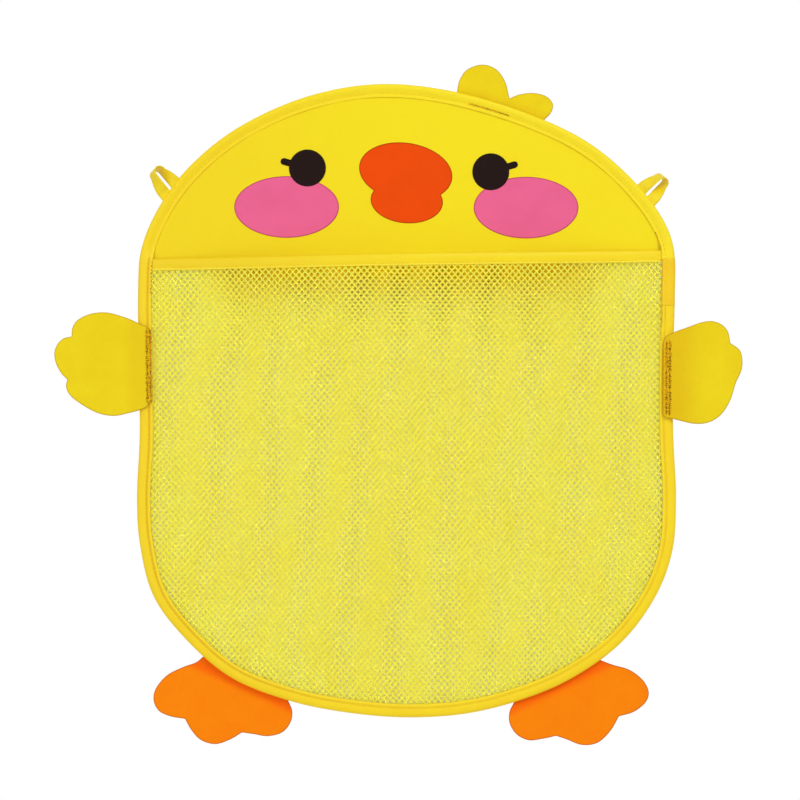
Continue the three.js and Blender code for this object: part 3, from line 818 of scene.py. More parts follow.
binding_inner = edge_points(binding_width, 240)
panel_edge = edge_points(panel_inset)
panel_outline = resample(cut_along_mouth(panel_edge, -panel_past_mouth, True), rim_spacing, True)
head_panel = sheet_piece(
    "head_fabric", [panel_outline], 4, (), panel_middle, rounded(panel_thickness, 0.5, 0.8)
)
finish_piece(head_panel, head_material, "bag", ["head_panel"])


def ellipse(centre_shares, size, tilt=0):
    angle = np.linspace(0, 2 * math.pi, 160, endpoint=False)
    turn = math.radians(tilt)
    x, z = np.cos(angle) * size[0] / 2, np.sin(angle) * size[1] / 2
    middle_x, middle_z = centre_shares[0] * bag_width / 2, -centre_shares[1] * bag_height
    turned = [x * math.cos(turn) - z * math.sin(turn), x * math.sin(turn) + z * math.cos(turn)]
    return resample(np.stack([turned[0] + middle_x, turned[1] + middle_z], axis=1), 0.8, True)


def bar(centre_shares, reach, width):
    """A short bar with a round end, from a centre to a point beside it."""
    start = np.array([centre_shares[0] * bag_width / 2, -centre_shares[1] * bag_height])
    end = start + reach
    heading = math.atan2(reach[1], reach[0])
    angles = np.linspace(-math.pi / 2, math.pi / 2, 24)
    tip = end + np.stack([np.cos(angles + heading), np.sin(angles + heading)], axis=1) * width / 2
    rear = angles + heading + math.pi
    tail = start + np.stack([np.cos(rear), np.sin(rear)], axis=1) * width / 2
    return resample(np.vstack([tip, tail]), 0.5, True)


def film(name, loops, layer, material, node):
    """A thin print that follows the panel. A later layer lies on an earlier one."""

    def middle(x, z):
        return panel_middle(x, z) + panel_thickness / 2 + print_thickness * (layer + 0.35)

    piece = sheet_piece(name, loops, 2.2, (0.3, 0.7), middle, rounded(print_thickness, 0.2, 0.5))
    return finish_piece(piece, material, "bag", [node])


for side in ("left", "right"):
    lash = bar(eye_places[side], np.array(lash_reach[side]), lash_width)
    ball = ellipse(eye_places[side], (2 * eye_radius, 2 * eye_radius))
    film(f"cheek_{side}_print", [ellipse(cheek_places[side], cheek_size)], 0, pink_ink_material,
         f"cheek_{side}")
    film(f"eye_{side}_print", [ball, lash], 1, dark_ink_material, f"eye_{side}")
beak_loops = [
    ellipse(beak_upper_place, beak_upper_size, beak_upper_tilt),
    ellipse(beak_lower_place, beak_lower_size, beak_lower_tilt),
]
film("beak_print", beak_loops, 0, orange_ink_material, "beak")


# Geometry Nodes
def new_tree(name, inputs):
    tree = bpy.data.node_groups.new(name, "GeometryNodeTree")
    return add_sockets(tree, inputs, [("Geometry", "Geometry")])


def combine(tree, x=0.0, y=0.0, z=0.0):
    return add_node(tree, "ShaderNodeCombineXYZ", X=x, Y=y, Z=z).outputs[0]


def vector_step(tree, operation, first, second):
    return add_node(tree, "ShaderNodeVectorMath", {"operation": operation}, i0=first, i1=second).outputs[0]


def step(tree, kind, geometry, **inputs):
    """One more step on a geometry."""
    return add_node(tree, f"GeometryNode{kind}", Geometry=geometry, **inputs).outputs[0]


def mesh_of(tree, source):
    """The geometry of the object that an input names."""
    return add_node(tree, "GeometryNodeObjectInfo", Object=source).outputs["Geometry"]


def repeat(tree, points, unit, **inputs):
    """A unit on every point, as a real mesh."""
    spread = add_node(tree, "GeometryNodeInstanceOnPoints", Points=points, Instance=unit, **inputs).outputs[0]
    return step(tree, "RealizeInstances", spread)


def finish_tree(tree, geometry, material, result):
    soft = step(tree, "SetShadeSmooth", geometry)
    tree.links.new(step(tree, "SetMaterial", soft, Material=material), result[0])
    return tree


def make_net_tree():
    """Repeats one crossing over a staggered grid, joins the strands, and lays the net on a surface."""
    inputs = [
        ("Crossing", "Object", None), ("Surface", "Object", None), ("Material", "Material", None),
        ("Cell Width", "Float", 0.004), ("Cell Height", "Float", 0.0045),
        ("Columns", "Int", 10), ("Rows", "Int", 10),
        ("Turn", "Float", 0.0), ("Centre", "Vector", (0, 0, 0)), ("Sway", "Float", 0.0005),
        ("Closer", "Float", 0.0), ("Closer Top", "Float", 0.0), ("Closer Depth", "Float", 0.04),
        ("Closer Reach", "Float", 0.15),
    ]
    tree, get, result = new_tree("knitted_net", inputs)
    grid_inputs = {
        "Size X": multiply(tree, get["Cell Width"], get["Columns"]),
        "Size Y": multiply(tree, get["Cell Height"], get["Rows"]),
        "Vertices X": calculate(tree, "ADD", get["Columns"], 1.0),
        "Vertices Y": calculate(tree, "ADD", get["Rows"], 1.0),
    }
    grid = add_node(tree, "GeometryNodeMeshGrid", **grid_inputs).outputs["Mesh"]
    half_cell = combine(tree, multiply(tree, get["Cell Width"], 0.5), multiply(tree, get["Cell Height"], 0.5))
    both = tree.nodes.new("GeometryNodeJoinGeometry")
    for points in (grid, step(tree, "Transform", grid, Translation=half_cell)):
        tree.links.new(points, both.inputs[0])
    net = repeat(tree, both.outputs[0], mesh_of(tree, get["Crossing"]))
    net = step(tree, "MergeByDistance", net, Distance=0.00004)
    net = step(tree, "Transform", net, Rotation=(math.pi / 2, 0, 0))
    turn = combine(tree, 0.0, get["Turn"], 0.0)
    net = step(tree, "Transform", net, Translation=get["Centre"], Rotation=turn)
    # Below the mouth's middle the strands are widened, so that the back net's painted shade there fills its
    # cells.
    position = tree.nodes.new("GeometryNodeInputPosition").outputs[0]
    parts = split(tree, position)
    below = calculate(tree, "SUBTRACT", get["Closer Top"], parts["Z"])
    nearness = calculate(tree, "SUBTRACT", 1.6, calculate(tree, "DIVIDE", below, get["Closer Depth"]))
    sideways = calculate(tree, "DIVIDE", calculate(tree, "ABSOLUTE", parts["X"]), get["Closer Reach"])
    middling = multiply(tree, calculate(tree, "SUBTRACT", 1.0, sideways), 3.0)
    shares = [add_node(tree, "ShaderNodeClamp", Value=raw).outputs[0] for raw in (nearness, middling)]
    closer = multiply(tree, multiply(tree, *shares), get["Closer"])
    spread = add_node(
        tree, "GeometryNodeInputNamedAttribute", {"data_type": "FLOAT_VECTOR"}, Name="spread"
    ).outputs["Attribute"]
    widening = add_node(
        tree, "ShaderNodeVectorMath", {"operation": "SCALE"}, i0=spread, Scale=closer
    ).outputs[0]
    net = step(tree, "SetPosition", net, Offset=widening)
    # A slow sway keeps the cells from lying in dead straight rows.
    slow = add_node(tree, "ShaderNodeTexNoise", Vector=position, Scale=16.0, Detail=1.0).outputs["Color"]
    centred = vector_step(tree, "SUBTRACT", slow, (0.5, 0.5, 0.5))
    sway = vector_step(tree, "MULTIPLY", centred, combine(tree, get["Sway"], 0.0, get["Sway"]))
    net = step(tree, "SetPosition", net, Offset=sway)
    # Each place is sought on the surface from in front. What misses it is cut away.
    ray_inputs = {
        "Target Geometry": mesh_of(tree, get["Surface"]),
        "Source Position": combine(tree, parts["X"], -1.0, parts["Z"]),
        "Ray Direction": (0, 1, 0), "Ray Length": 2,
    }
    ray = add_node(tree, "GeometryNodeRaycast", **ray_inputs).outputs
    missed = add_node(tree, "FunctionNodeBooleanMath", {"operation": "NOT"}, i0=ray["Is Hit"]).outputs[0]
    net = step(tree, "DeleteGeometry", net, Selection=missed)
    depth = calculate(tree, "ADD", split(tree, ray["Hit Position"])["Y"], parts["Y"])
    net = step(tree, "SetPosition", net, Position=combine(tree, parts["X"], depth, parts["Z"]))
    return finish_tree(tree, net, get["Material"], result)


def make_stitch_tree():
    """Lays one stitch after another along a path, each turned to it or swung to and fro across it."""
    inputs = [
        ("Path", "Object", None), ("Stitch", "Object", None), ("Material", "Material", None),
        ("Pitch", "Float", 0.003), ("Length", "Float", 0.0022), ("Thread", "Float", 0.0005),
        ("Swing", "Float", 0.0), ("Unevenness", "Float", 0.1), ("Seed", "Int", 1),
    ]
    tree, get, result = new_tree("stitch_row", inputs)
    spaced = add_node(
        tree, "GeometryNodeResampleCurve", {"mode": "LENGTH"},
        Curve=mesh_of(tree, get["Path"]), Length=get["Pitch"],
    ).outputs[0]
    tangent = tree.nodes.new("GeometryNodeInputTangent").outputs[0]
    aligned = add_node(
        tree, "FunctionNodeAlignRotationToVector", {"axis": "X", "pivot_axis": "Y"}, Vector=tangent
    ).outputs[0]
    parity = calculate(tree, "MODULO", tree.nodes.new("GeometryNodeInputIndex").outputs[0], 2.0)
    sign = calculate(tree, "SUBTRACT", multiply(tree, parity, 2.0), 1.0)
    chance = add_node(tree, "FunctionNodeRandomValue", {"data_type": "FLOAT"}, Seed=get["Seed"]).outputs[1]
    uneven = multiply(tree, calculate(tree, "SUBTRACT", chance, 0.5), get["Unevenness"])
    angle = calculate(tree, "ADD", multiply(tree, sign, get["Swing"]), uneven)
    swung = add_node(
        tree, "FunctionNodeRotateRotation", {"rotation_space": "LOCAL"},
        Rotation=aligned, i1=combine(tree, 0.0, angle, 0.0),
    ).outputs[0]
    size = combine(tree, get["Length"], get["Thread"], get["Thread"])
    row = repeat(tree, spaced, mesh_of(tree, get["Stitch"]), Rotation=swung, Scale=size)
    return finish_tree(tree, row, get["Material"], result)


net_tree = make_net_tree()
stitch_tree = make_stitch_tree()


def set_input(modifier, name, value):
    """Sets a modifier's input by its socket's identifier."""
    for item in modifier.node_group.interface.items_tree:
        if item.item_type == "SOCKET" and item.in_out == "INPUT" and item.name == name:
            modifier[item.identifier] = value


def bake_tree(name, tree, values):
    """Runs a tree with its inputs and keeps what it makes as a plain mesh."""
    carrier = new_object(f"{name}_carrier", bpy.data.meshes.new(f"{name}_carrier"))
    modifier = carrier.modifiers.new("tree", "NODES")
    modifier.node_group = tree
    for key, value in values.items():
        set_input(modifier, key, value)
    evaluated = carrier.evaluated_get(bpy.context.evaluated_depsgraph_get())
    mesh = bpy.data.meshes.new_from_object(evaluated)
    mesh.name = name
    carrier.modifiers.remove(modifier)
    bpy.data.objects.remove(carrier)
    return new_object(name, mesh)


# The nets
def net_crossing(name, cell, strand_size):
    """One crossing with the strands that leave it upwards, up to the next crossings. The strands have a
    ridge at the front and at the back."""
    step = np.array([cell[0] / 2, cell[1] / 2])
    slope = math.atan2(step[1], step[0])
    half_across = strand_size[0] / 2 / math.sin(slope)
    half_up = strand_size[0] / 2 / math.cos(slope)
    ridge = strand_size[1] / 2
    points = []
    for place_x, place_z in ((0, 0), (step[0], step[1]), (-step[0], step[1])):
        for a, b, c in ((0, half_up, 0), (half_across, 0, 0), (0, -half_up, 0), (-half_across, 0, 0),
                        (0, 0, ridge), (0, 0, -ridge)):
            points.append(((place_x + a) * MM, (place_z + b) * MM, c * MM))
    north, east, south, west, front, back = range(6)
    right, left = 6, 12
    faces = [
        (east, right + south, right + front, front), (front, right + front, right + west, north),
        (front, north, left + east, left + front), (west, front, left + front, left + south),
        (back, right + back, right + south, east), (north, right + west, right + back, back),
        (left + back, left + east, north, back), (left + south, left + back, back, west),
    ]
    mesh = bpy.data.meshes.new(name)
    mesh.from_pydata(points, [], faces)
    spread = [(half_across, 0, 0), (-half_across, 0, 0), (0, 0, half_up), (0, 0, -half_up), (0, 0, 0)]
    order = [2, 0, 3, 1, 4, 4] * 3
    attribute = mesh.attributes.new("spread", "FLOAT_VECTOR", "POINT")
    attribute.data.foreach_set("vector", np.array([spread[i] for i in order]).ravel() * MM)
    return new_object(name, mesh)


def net_surface(name, outline, out, forward):
    flat, triangles, _, _ = fill_outlines([outline], 6)
    x, z = flat[:, 0], flat[:, 1]
    return add_object(name, place(x, z, out + forward(x, z)), triangles)


def make_net(name, outline, out, forward, cell, strand_size, turn, sway, closer, material, node):
    crossing = net_crossing(f"{name}_crossing", cell, strand_size)
    surface = net_surface(f"{name}_surface", outline, out, forward)
    middle_height = (outline[:, 1].min() + outline[:, 1].max()) / 2
    reach = outline[:, 1].max() - outline[:, 1].min()
    values = {
        "Crossing": crossing, "Surface": surface, "Material": material,
        "Cell Width": cell[0] * MM, "Cell Height": cell[1] * MM,
        "Columns": int(bag_width / cell[0]) + 12, "Rows": int(reach / cell[1]) + 12,
        "Turn": math.radians(turn), "Centre": (0, 0, (middle_height + crown_height) * MM), "Sway": sway * MM,
        "Closer": closer, "Closer Top": (crown_height - mouth_down) * MM, "Closer Depth": shade_depth * MM,
        "Closer Reach": shade_reach * MM,
    }
    piece = bake_tree(name, net_tree, values)
    for helper in (crossing, surface):
        bpy.data.objects.remove(helper)
    shape = bmesh.new()
    shape.from_mesh(piece.data)
    bmesh.ops.delete(shape, geom=[v for v in shape.verts if not v.link_faces], context="VERTS")
    bmesh.ops.holes_fill(shape, edges=[e for e in shape.edges if e.is_boundary], sides=0)
    bmesh.ops.triangulate(shape, faces=[f for f in shape.faces if len(f.verts) > 4])
    shape.to_mesh(piece.data)
    shape.free()
    finish_piece(piece, material, "bag", [node])
    return piece


def flat_net(x, z):
    return np.zeros_like(x)


net_edge = edge_points(net_inset)
back_outline = resample(cut_along_mouth(net_edge, back_net_past_mouth, False), rim_spacing, True)
front_outline = resample(cut_along_mouth(net_edge, front_net_past_mouth, False), rim_spacing, True)
back_net = make_net(
    "back_netting", back_outline, back_net_out, flat_net, back_cell, back_strand_size, 0.35, 6.0, 0.45,
    back_net_material, "back_net",
)
front_net = make_net(
    "front_netting", front_outline, front_net_out, bulge, front_cell, front_strand_size, -0.2, 3.0, 0.0,
    front_net_material, "front_net",
)


# The tapes
def lip_drop(points):
    """How far the tape's front lip comes down to lie on the head panel, in millimetres. It's sewn down
    harder at the bag's left."""
    beside_head = smooth(points[:, 1] - mouth_height(points[:, 0]), 2, 16)
    return beside_head * (hug_depth + 0.35 * smooth(-points[:, 0], -60, 60))


def binding_sections(drop, loose):
    """The folded tape's section at each station: inset from the edge, then out from the wall."""
    outer = [
        (8.9, 6.5), (8.6, 6.8), (7.9, 7.0), (7.1, 6.98), (6.2, 6.8), (5.4, 7.04), (4.4, 7.2), (3.2, 7.12),
        (2.1, 6.86), (1.2, 6.4), (0.5, 5.75), (0.12, 5.05), (0.05, 4.7), (0.12, 4.3), (0.5, 3.6), (1.2, 2.95),
        (2.1, 2.58), (3.2, 2.38), (4.4, 2.3), (6.6, 2.36), (7.2, 2.44), (8.3, 2.36), (8.5, 2.6),
    ]
    inner = [
        (8.3, 2.96), (7.2, 3.0), (4.4, 2.98), (2.6, 3.1), (1.5, 3.6), (0.85, 4.4), (0.85, 5.1), (1.5, 5.9),
        (2.6, 6.35), (4.4, 6.5), (7.2, 6.3), (8.6, 6.3),
    ]
    base = np.array(outer + inner)
    sections = np.repeat(base[None], len(drop), axis=0)
    front = smooth(base[:, 1], 4.7, 6.4)
    reach = smooth(base[:, 0], 0.5, 7.0)
    sections[..., 1] -= drop[:, None] * (front * reach)[None]
    sections[..., 1] += loose[:, None] * (front * reach)[None]
    return sections


def tape_stations(shares, grow=0.0):
    points, along, outward = edge_frame(shares)
    origins = place(points[:, 0] + outward[:, 0] * grow, points[:, 1] + outward[:, 1] * grow, 0)
    across = np.stack([-outward[:, 0], np.zeros(len(shares)), -outward[:, 1]], axis=1)
    up = np.tile([0.0, -1.0, 0.0], (len(shares), 1))
    return origins, across, up, lip_drop(points)


binding_stations = 900
binding_shares = np.arange(binding_stations) / binding_stations
origins, across, up, drop = tape_stations(binding_shares)
wander = 2 * math.pi * binding_shares
loose = 0.1 * np.sin(37 * wander) * np.sin(11 * wander + 1) + 0.06 * np.sin(83 * wander + 2)
edge_tape = sweep("edge_tape", origins, across, up, binding_sections(drop, loose), True)
finish_piece(edge_tape, tape_material, "bag", ["perimeter_binding"])

# The tape's two ends lap at the right of the mouth.
lap_shares = np.linspace(0.7935, 0.8175, 40)
origins, across, up, drop = tape_stations(lap_shares, 0.05)
lap_sections = binding_sections(drop, np.full(40, 0.0))
lap_middle = np.array([4.4, 4.7])
lap_sections = lap_middle + (lap_sections - lap_middle) * np.array([1.02, 1.07])
tape_lap = sweep("edge_tape_lap", origins, across, up, lap_sections, False)
finish_piece(tape_lap, lap_material, "bag")


def mouth_tape_piece():
    """The tape folded over the front net's upper edge. Its ends thin out under the binding."""
    lip = binding_width - 3.0
    left, right = (limits(side, lip) for side in (-1, 1))
    x = np.linspace(left, right, 240)
    z = mouth_height(x)
    width = mouth_tape_width
    outer = [
        (width, 2.35), (width - 0.3, 2.62), (width - 0.9, 2.56), (width - 1.4, 2.44), (width - 2.0, 2.6),
        (4.4, 2.78), (2.8, 2.8), (1.6, 2.66), (0.7, 2.25), (0.15, 1.7), (0.0, 1.3), (0.2, 0.75), (0.8, 0.25),
        (1.8, 0.0), (width - 0.3, 0.0), (width, 0.2),
    ]
    inner = [
        (width - 0.2, 0.65), (2.2, 0.65), (1.3, 0.85), (0.8, 1.35), (1.3, 1.85), (2.2, 2.05),
        (width - 0.2, 1.95),
    ]
    base = np.array(outer + inner)
    ends = np.minimum(x - left, right - x)
    flatten = 0.66 + 0.34 * smooth(ends, 2, 12)
    sections = np.repeat(base[None], len(x), axis=0)
    sections[..., 1] *= flatten[:, None]
    wave = 0.12 * np.sin(x / 7.3) * np.sin(x / 23 + 1)
    sections[..., 1] += wave[:, None] * smooth(base[:, 0], 2, 7)[None]
    origins = place(x, z + width / 2, mouth_tape_out + bulge(x, z))
    across = np.tile([0.0, 0.0, -1.0], (len(x), 1))
    up = np.tile([0.0, -1.0, 0.0], (len(x), 1))
    return sweep("mouth_tape", origins, across, up, sections, False)


def limits(side, inset):
    """Where the mouth line meets the bag's edge, less an inset."""
    line = edge_points(inset)
    near = line[np.sign(line[:, 0]) == side]
    return near[np.argmin(np.abs(near[:, 1] - mouth_height(near[:, 0]))), 0]


mouth_tape = mouth_tape_piece()
finish_piece(mouth_tape, mouth_tape_material, "bag", ["mouth_binding"])


# The felt shapes
def felt_outline(shape):
    point, along, outward = edge_frame(shape["place"])
    parts = []
    for lobe in shape["lobes"]:
        places = [point + along * a * shape["width"] + outward * b * shape["reach"] for a, b in lobe]
        parts.append(spline(places, False, 8)[:-1])
    last = point + along * shape["lobes"][-1][-1][0] * shape["width"]
    last = last + outward * shape["lobes"][-1][-1][1] * shape["reach"]
    parts.append(last[None])
    line = np.vstack(parts)
    if "root_depth" in shape:
        for corner in (line[-1], line[0]):
            sunk = corner - outward * (shape["root_depth"] + (corner - point) @ outward)
            parts.append(sunk[None])
        line = np.vstack(parts)
    return resample(line, 0.8, True)


def felt_piece(name, shape, material):
    point, along, outward = edge_frame(shape["place"])
    out = wing_out if shape.get("in_front") else 0
    outline = felt_outline(shape)
    bend = point + outward * 1.3

    def middle(x, z):
        reach = (x - bend[0]) * outward[0] + (z - bend[1]) * outward[1]
        side = (x - bend[0]) * along[0] + (z - bend[1]) * along[1]
        curl = 1.5 * smooth(reach, 6, shape["reach"] + 4)
        wave = 0.35 * np.sin(side / 11 + shape["place"] * 30) * smooth(reach, 2, 20)
        return out + felt_thickness / 2 + curl + np.abs(wave) * 0.6

    rows = (0.15, 0.45, 0.9, 1.5)
    piece = sheet_piece(f"{name}_felt", [outline], 1.6, rows, middle, rounded(felt_thickness, 1.0, 0.3))
    points = np.empty(3 * len(piece.data.vertices))
    piece.data.vertices.foreach_get("co", points)
    points = points.reshape(-1, 3) / MM
    reach = (points[:, 0] - bend[0]) * outward[0] + (points[:, 2] - crown_height - bend[1]) * outward[1]
    # The painted shade at the root, fading away from it.
    strength, far = shape["root_shade"]
    attribute = piece.data.attributes.new("painted_root_shade", "FLOAT", "POINT")
    attribute.data.foreach_set("value", (strength * (1 - smooth(reach, 0, far))).astype(np.float32))
    piece.data.materials.append(material)
    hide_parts(name, f"{name}_sewn_edge")
    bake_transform(piece)


for felt_name, felt_shape in felt_shapes.items():
    orange = felt_name.startswith("foot")
    felt_piece(
        felt_name, felt_shape, orange_felt_material if orange else yellow_felt_material,
    )


# The hanging loops
def hanging_loop(side):
    """A ribbon that leaves the fold of the edge tape flat, then turns so that its eye opens to the front."""
    point, along, outward = edge_frame(loop_places[side])
    along = np.array([along[0], 0.0, along[1]])
    outward = np.array([outward[0], 0.0, outward[1]])
    lean = math.radians(loop_lean[side])
    forward = np.array([0.0, -1.0, 0.0])
    turn = math.radians(loop_turn)
    depth = ribbon_width * math.cos(turn) + loop_spread * math.sin(turn) + 0.8
    hinge = place(point[0], point[1], depth / 2) + outward * 0.7 * MM
    cosine, sine = math.cos(lean), math.sin(lean)
    along, outward = (
        np.array([d[0] * cosine - d[2] * sine, 0.0, d[0] * sine + d[2] * cosine]) for d in (along, outward)
    )
    straight = loop_reach - loop_tip_radius
    tip_turn = math.radians(loop_tip_turn)
    rows = []

    def shown_width(progress):
        """The share of the ribbon's width that faces forwards."""
        return 1 - (1 - math.sin(tip_turn)) * progress ** 1.8

    def station(height, sideways, progress, bend):
        spread_way = along * math.cos(tip_turn * progress) + forward * math.sin(tip_turn * progress)
        width_turn = -math.acos(shown_width(progress))
        width = along * math.cos(width_turn) + forward * math.sin(width_turn)
        face = np.cross(outward, width)
        face /= np.linalg.norm(face)
        thick = face * math.sin(bend) + outward * math.cos(bend)
        sink = forward * -1.6 * (1 - float(smooth(height, -1.5, 4)))
        rows.append((hinge + (outward * height + spread_way * sideways + sink) * MM, width, thick))

    def half_spread(progress):
        return (loop_slit + ribbon_width * shown_width(progress)) / 2 / math.cos(tip_turn * progress)

    for height in np.linspace(-loop_root, straight, 26)[:-1]:
        progress = max(height, 0) / straight
        station(height, half_spread(progress), progress, math.pi / 2)
    for bend in np.linspace(math.pi / 2, -math.pi / 2, 29):
        station(straight + math.cos(bend) * half_spread(1), math.sin(bend) * half_spread(1), 1, bend)
    for height in np.linspace(straight, -loop_root, 26)[1:]:
        progress = max(height, 0) / straight
        station(height, -half_spread(progress), progress, -math.pi / 2)
    origins, across, up = (np.array([row[i] for row in rows]) for i in range(3))
    w, t = ribbon_width / 2, ribbon_thickness / 2
    section = np.array([
        (-w, -t * 0.3), (-w + 0.15, -t), (-w * 0.5, -t * 0.85), (0, -t * 0.8), (w * 0.5, -t * 0.85),
        (w - 0.15, -t), (w, -t * 0.3), (w, t * 0.3), (w - 0.15, t), (w * 0.5, t * 0.85), (0, t * 0.8),
        (-w * 0.5, t * 0.85), (-w + 0.15, t), (-w, t * 0.3),
    ])
    sections = np.repeat(section[None], len(rows), axis=0)
    piece = sweep(f"hanging_ribbon_{side}", origins, across, up, sections, False)
    piece.data.materials.append(ribbon_material)
    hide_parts(f"hanging_loop_{side}")
    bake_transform(piece)


for side in ("left", "right"):
    hanging_loop(side)


# The stitching
def thread_unit():
    """One stitch of length and thickness 1, thick in its middle and pulled in at both ends."""
    sides = 6
    rings = [(-0.5, 0.12), (-0.42, 0.34), (-0.22, 0.48), (0.22, 0.48), (0.42, 0.34), (0.5, 0.12)]
    points = []
    for x, radius in rings:
        for i in range(sides):
            angle = 2 * math.pi * i / sides
            points.append((x, math.cos(angle) * radius, math.sin(angle) * radius))
    faces = []
    for ring in range(len(rings) - 1):
        for i in range(sides):
            a, b = ring * sides + i, ring * sides + (i + 1) % sides
            faces.append((a, a + sides, b + sides, b))
    faces.append(tuple(range(sides)))
    faces.append(tuple(range(len(points) - 1, len(points) - sides - 1, -1)))
    return add_object("stitch_unit", points, faces)


stitch_unit = thread_unit()


def stitch_row(name, points, pitch, length, thread, material, swing=0.0, unevenness=0.15, seed=1):
    curve_data = bpy.data.curves.new(f"{name}_path", "CURVE")
    curve_data.dimensions = "3D"
    line = curve_data.splines.new("POLY")
    line.points.add(len(points) - 1)
    line.points.foreach_set("co", np.column_stack([points, np.ones(len(points))]).ravel())
    path = new_object(f"{name}_path", curve_data)
    values = {
        "Path": path, "Stitch": stitch_unit, "Material": material, "Pitch": pitch * MM, "Length": length * MM,
        "Thread": thread * MM, "Swing": math.radians(swing), "Unevenness": unevenness, "Seed": seed,
    }
    piece = bake_tree(name, stitch_tree, values)
    bpy.data.objects.remove(path)
    return piece


def tape_stitches(name, shares, inset, front, pitch, length, thread, material, **looks):
    """A row of stitches along the edge tape, at an inset from its edge, that follows its lip down."""
    points, _, outward = edge_frame(shares)
    places = points - outward * inset
    line = place(places[:, 0], places[:, 1], front - lip_drop(points))
    row = stitch_row(name, line, pitch, length, thread, material, **looks)
    finish_piece(row, material, "bag")


tape_stitches("edge_stitches", np.linspace(0, 1, 1200), 6.2, 6.92, 3.0, 2.3, 0.42, yellow_thread_material)

# Where the mouth's ends are sewn in, the stitches are close and dark.
for name, first, last, inset, pitch, length in (
    ("right_end_stitches", 0.776, 0.834, 8.3, 1.25, 1.2),
    ("left_end_stitches", 0.1705, 0.1865, 8.4, 2.4, 1.7),
):
    tape_stitches(
        name, np.linspace(first, last, 160), inset, 6.8, pitch, length, 0.5, brown_thread_material,
        swing=20, unevenness=0.8, seed=7,
    )

# Along the mouth tape's lower edge
row_x = np.linspace(limits(-1, binding_width + 1), limits(1, binding_width + 1), 400)
row_z = mouth_height(row_x)
row_out = mouth_tape_out + bulge(row_x, row_z) + 2.55 - 0.8 * (1 - smooth(160 - np.abs(row_x), 2, 12))
mouth_row = stitch_row(
    "mouth_stitches", place(row_x, row_z + mouth_tape_width / 2 - (mouth_tape_width - 1.4), row_out),
    2.6, 1.9, 0.42, yellow_thread_material, seed=2,
)
finish_piece(mouth_row, yellow_thread_material, "bag")


def wing_stitches(name, zigzag_inset, line_inset):
    """A dense zigzag across the wing's root, and a close straight row beside it."""
    shape = felt_shapes[name]
    point, along, outward = edge_frame(shape["place"])
    first, last = (shape["lobes"][i][j][0] * shape["width"] for i, j in ((0, 0), (-1, -1)))
    front = wing_out + felt_thickness + 0.02
    rows = (
        ("zigzag", zigzag_inset - 1.1, 1.5, 0.62, 2.6, 0.45, brown_thread_material, 50, 1.6),
        ("overlock", zigzag_inset + 1.1, 1.2, 0.66, 2.6, 0.45, brown_thread_material, 50, 1.6),
        ("line", line_inset, -1.0, 1.5, 1.7, 0.6, orange_thread_material, 0, 0.1),
    )
    for kind, inset, longer, pitch, length, thread, material, swing, unevenness in rows:
        run = np.linspace(first - longer, last + longer, 80)
        places = point + along * run[:, None] - outward * inset
        line = place(places[:, 0], places[:, 1], front)
        looks = {"swing": swing, "unevenness": unevenness, "seed": 3}
        row = stitch_row(f"{name}_{kind}", line, pitch, length, thread, material, **looks)
        finish_piece(row, material, "bag")


# Where the tuft is sewn on, through the edge tape
tuft_points, _, tuft_outward = edge_frame(np.linspace(0.9375, 0.9585, 60))
tuft_places = tuft_points - tuft_outward * 5.6
tuft_row = stitch_row(
    "tuft_stitches", place(tuft_places[:, 0], tuft_places[:, 1], 5.62), 1.1, 1.5, 0.4, brown_thread_material,
    swing=24, unevenness=0.9, seed=5,
)
finish_piece(tuft_row, brown_thread_material, "bag")

wing_stitches("wing_left", 6.9, 8.3)
wing_stitches("wing_right", 3.4, 6.4)
bpy.data.objects.remove(stitch_unit)


# Floor, lights and world
def background_rays(tree):
    """1 for the rays that see the background: from the camera, off gloss and through glass."""
    rays = tree.nodes.new("ShaderNodeLightPath").outputs
    seen = calculate(tree, "MAXIMUM", rays["Is Camera Ray"], rays["Is Glossy Ray"])
    return calculate(tree, "MAXIMUM", seen, rays["Is Transmission Ray"])


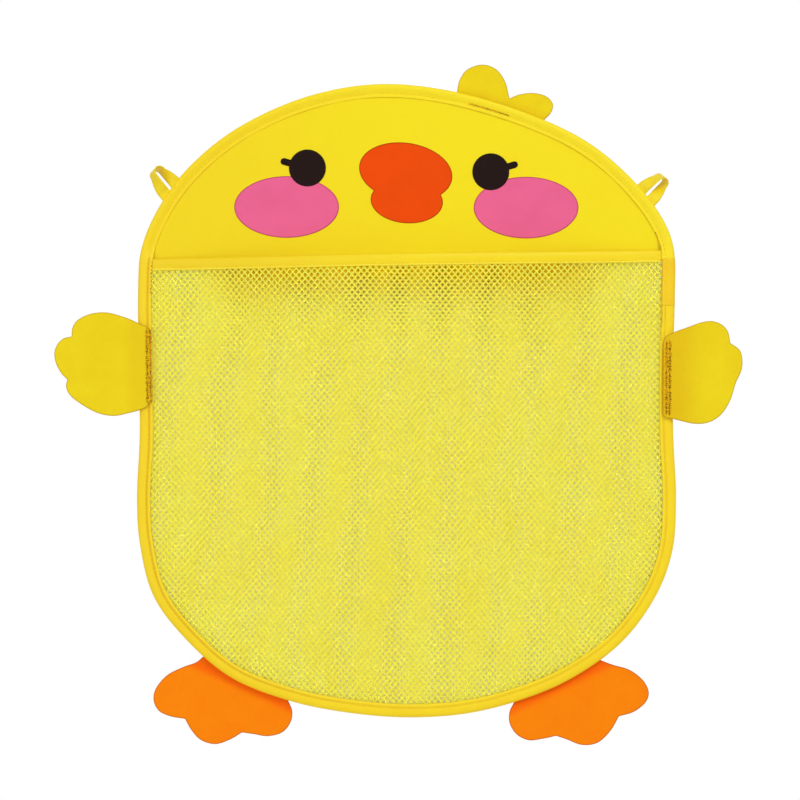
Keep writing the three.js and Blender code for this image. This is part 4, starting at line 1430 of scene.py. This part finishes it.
def make_floor():
    """A pale floor below the bag, which a camera sees as white where no shadow falls."""
    width, front, back, height, corner = 1.7, -1.5, 0.36, -0.47, 0.12
    points = []
    for corner_x, corner_y, start in (
        (width / 2, back, 0), (-width / 2, back, 90), (-width / 2, front, 180), (width / 2, front, 270),
    ):
        for angle in np.radians(np.linspace(start, start + 90, 12)):
            middle = (corner_x - math.copysign(corner, corner_x), corner_y - math.copysign(corner, corner_y))
            x, y = middle[0] + math.cos(angle) * corner, middle[1] + math.sin(angle) * corner
            points.append((x, y, height))
    lower = [(x, y, height - 0.02) for x, y, _ in points]
    count = len(points)
    faces = [tuple(range(count)), tuple(range(2 * count - 1, count - 1, -1))]
    faces += [((i + 1) % count, i, i + count, (i + 1) % count + count) for i in range(count)]
    floor = add_object("floor", points + lower, faces)
    floor.data.polygons.foreach_set("use_smooth", [False] * len(floor.data.polygons))
    material, tree, shader, where = new_material("pale_floor", 0.8, Emission_Color=(1, 1, 1, 1))
    patches = soft_patches(tree, where, 0.25)
    set_base(tree, shader, mix_colours(tree, patches, (0.9, 0.9, 0.89, 1), (0.86, 0.86, 0.85, 1)))
    glow = multiply(tree, background_rays(tree), 0.3)
    tree.links.new(glow, shader.inputs["Emission Strength"])
    floor.data.materials.append(material)


make_floor()


def add_area_light(name, place_at, aim, size, power):
    data = bpy.data.lights.new(name, "AREA")
    data.shape = "RECTANGLE"
    data.size, data.size_y = size
    data.energy = power
    light = new_object(name, data)
    light.location = place_at
    light.rotation_euler = (Vector(aim) - Vector(place_at)).to_track_quat("-Z", "Y").to_euler()


bag_middle = (0, 0, -0.15)
add_area_light("key_light", (0.9, -1.7, 1.2), bag_middle, (1.2, 0.9), 17.7)
add_area_light("fill_light", (-1.3, -1.5, 0.2), bag_middle, (1.0, 1.2), 7.3)
add_area_light("back_light", (-0.4, 1.5, 0.9), bag_middle, (1.2, 1.0), 7)

world = bpy.data.worlds.new("white_room")
bpy.context.scene.world = world
world.use_nodes = True
world_tree = world.node_tree
background = world_tree.nodes["Background"]
background.inputs["Color"].default_value = (1, 1, 1, 1)
world_level = map_range(world_tree, background_rays(world_tree), 0.0, 1.0, 0.54, 1.0)
world_tree.links.new(world_level, background.inputs["Strength"])

bpy.context.scene.view_settings.view_transform = "Standard"
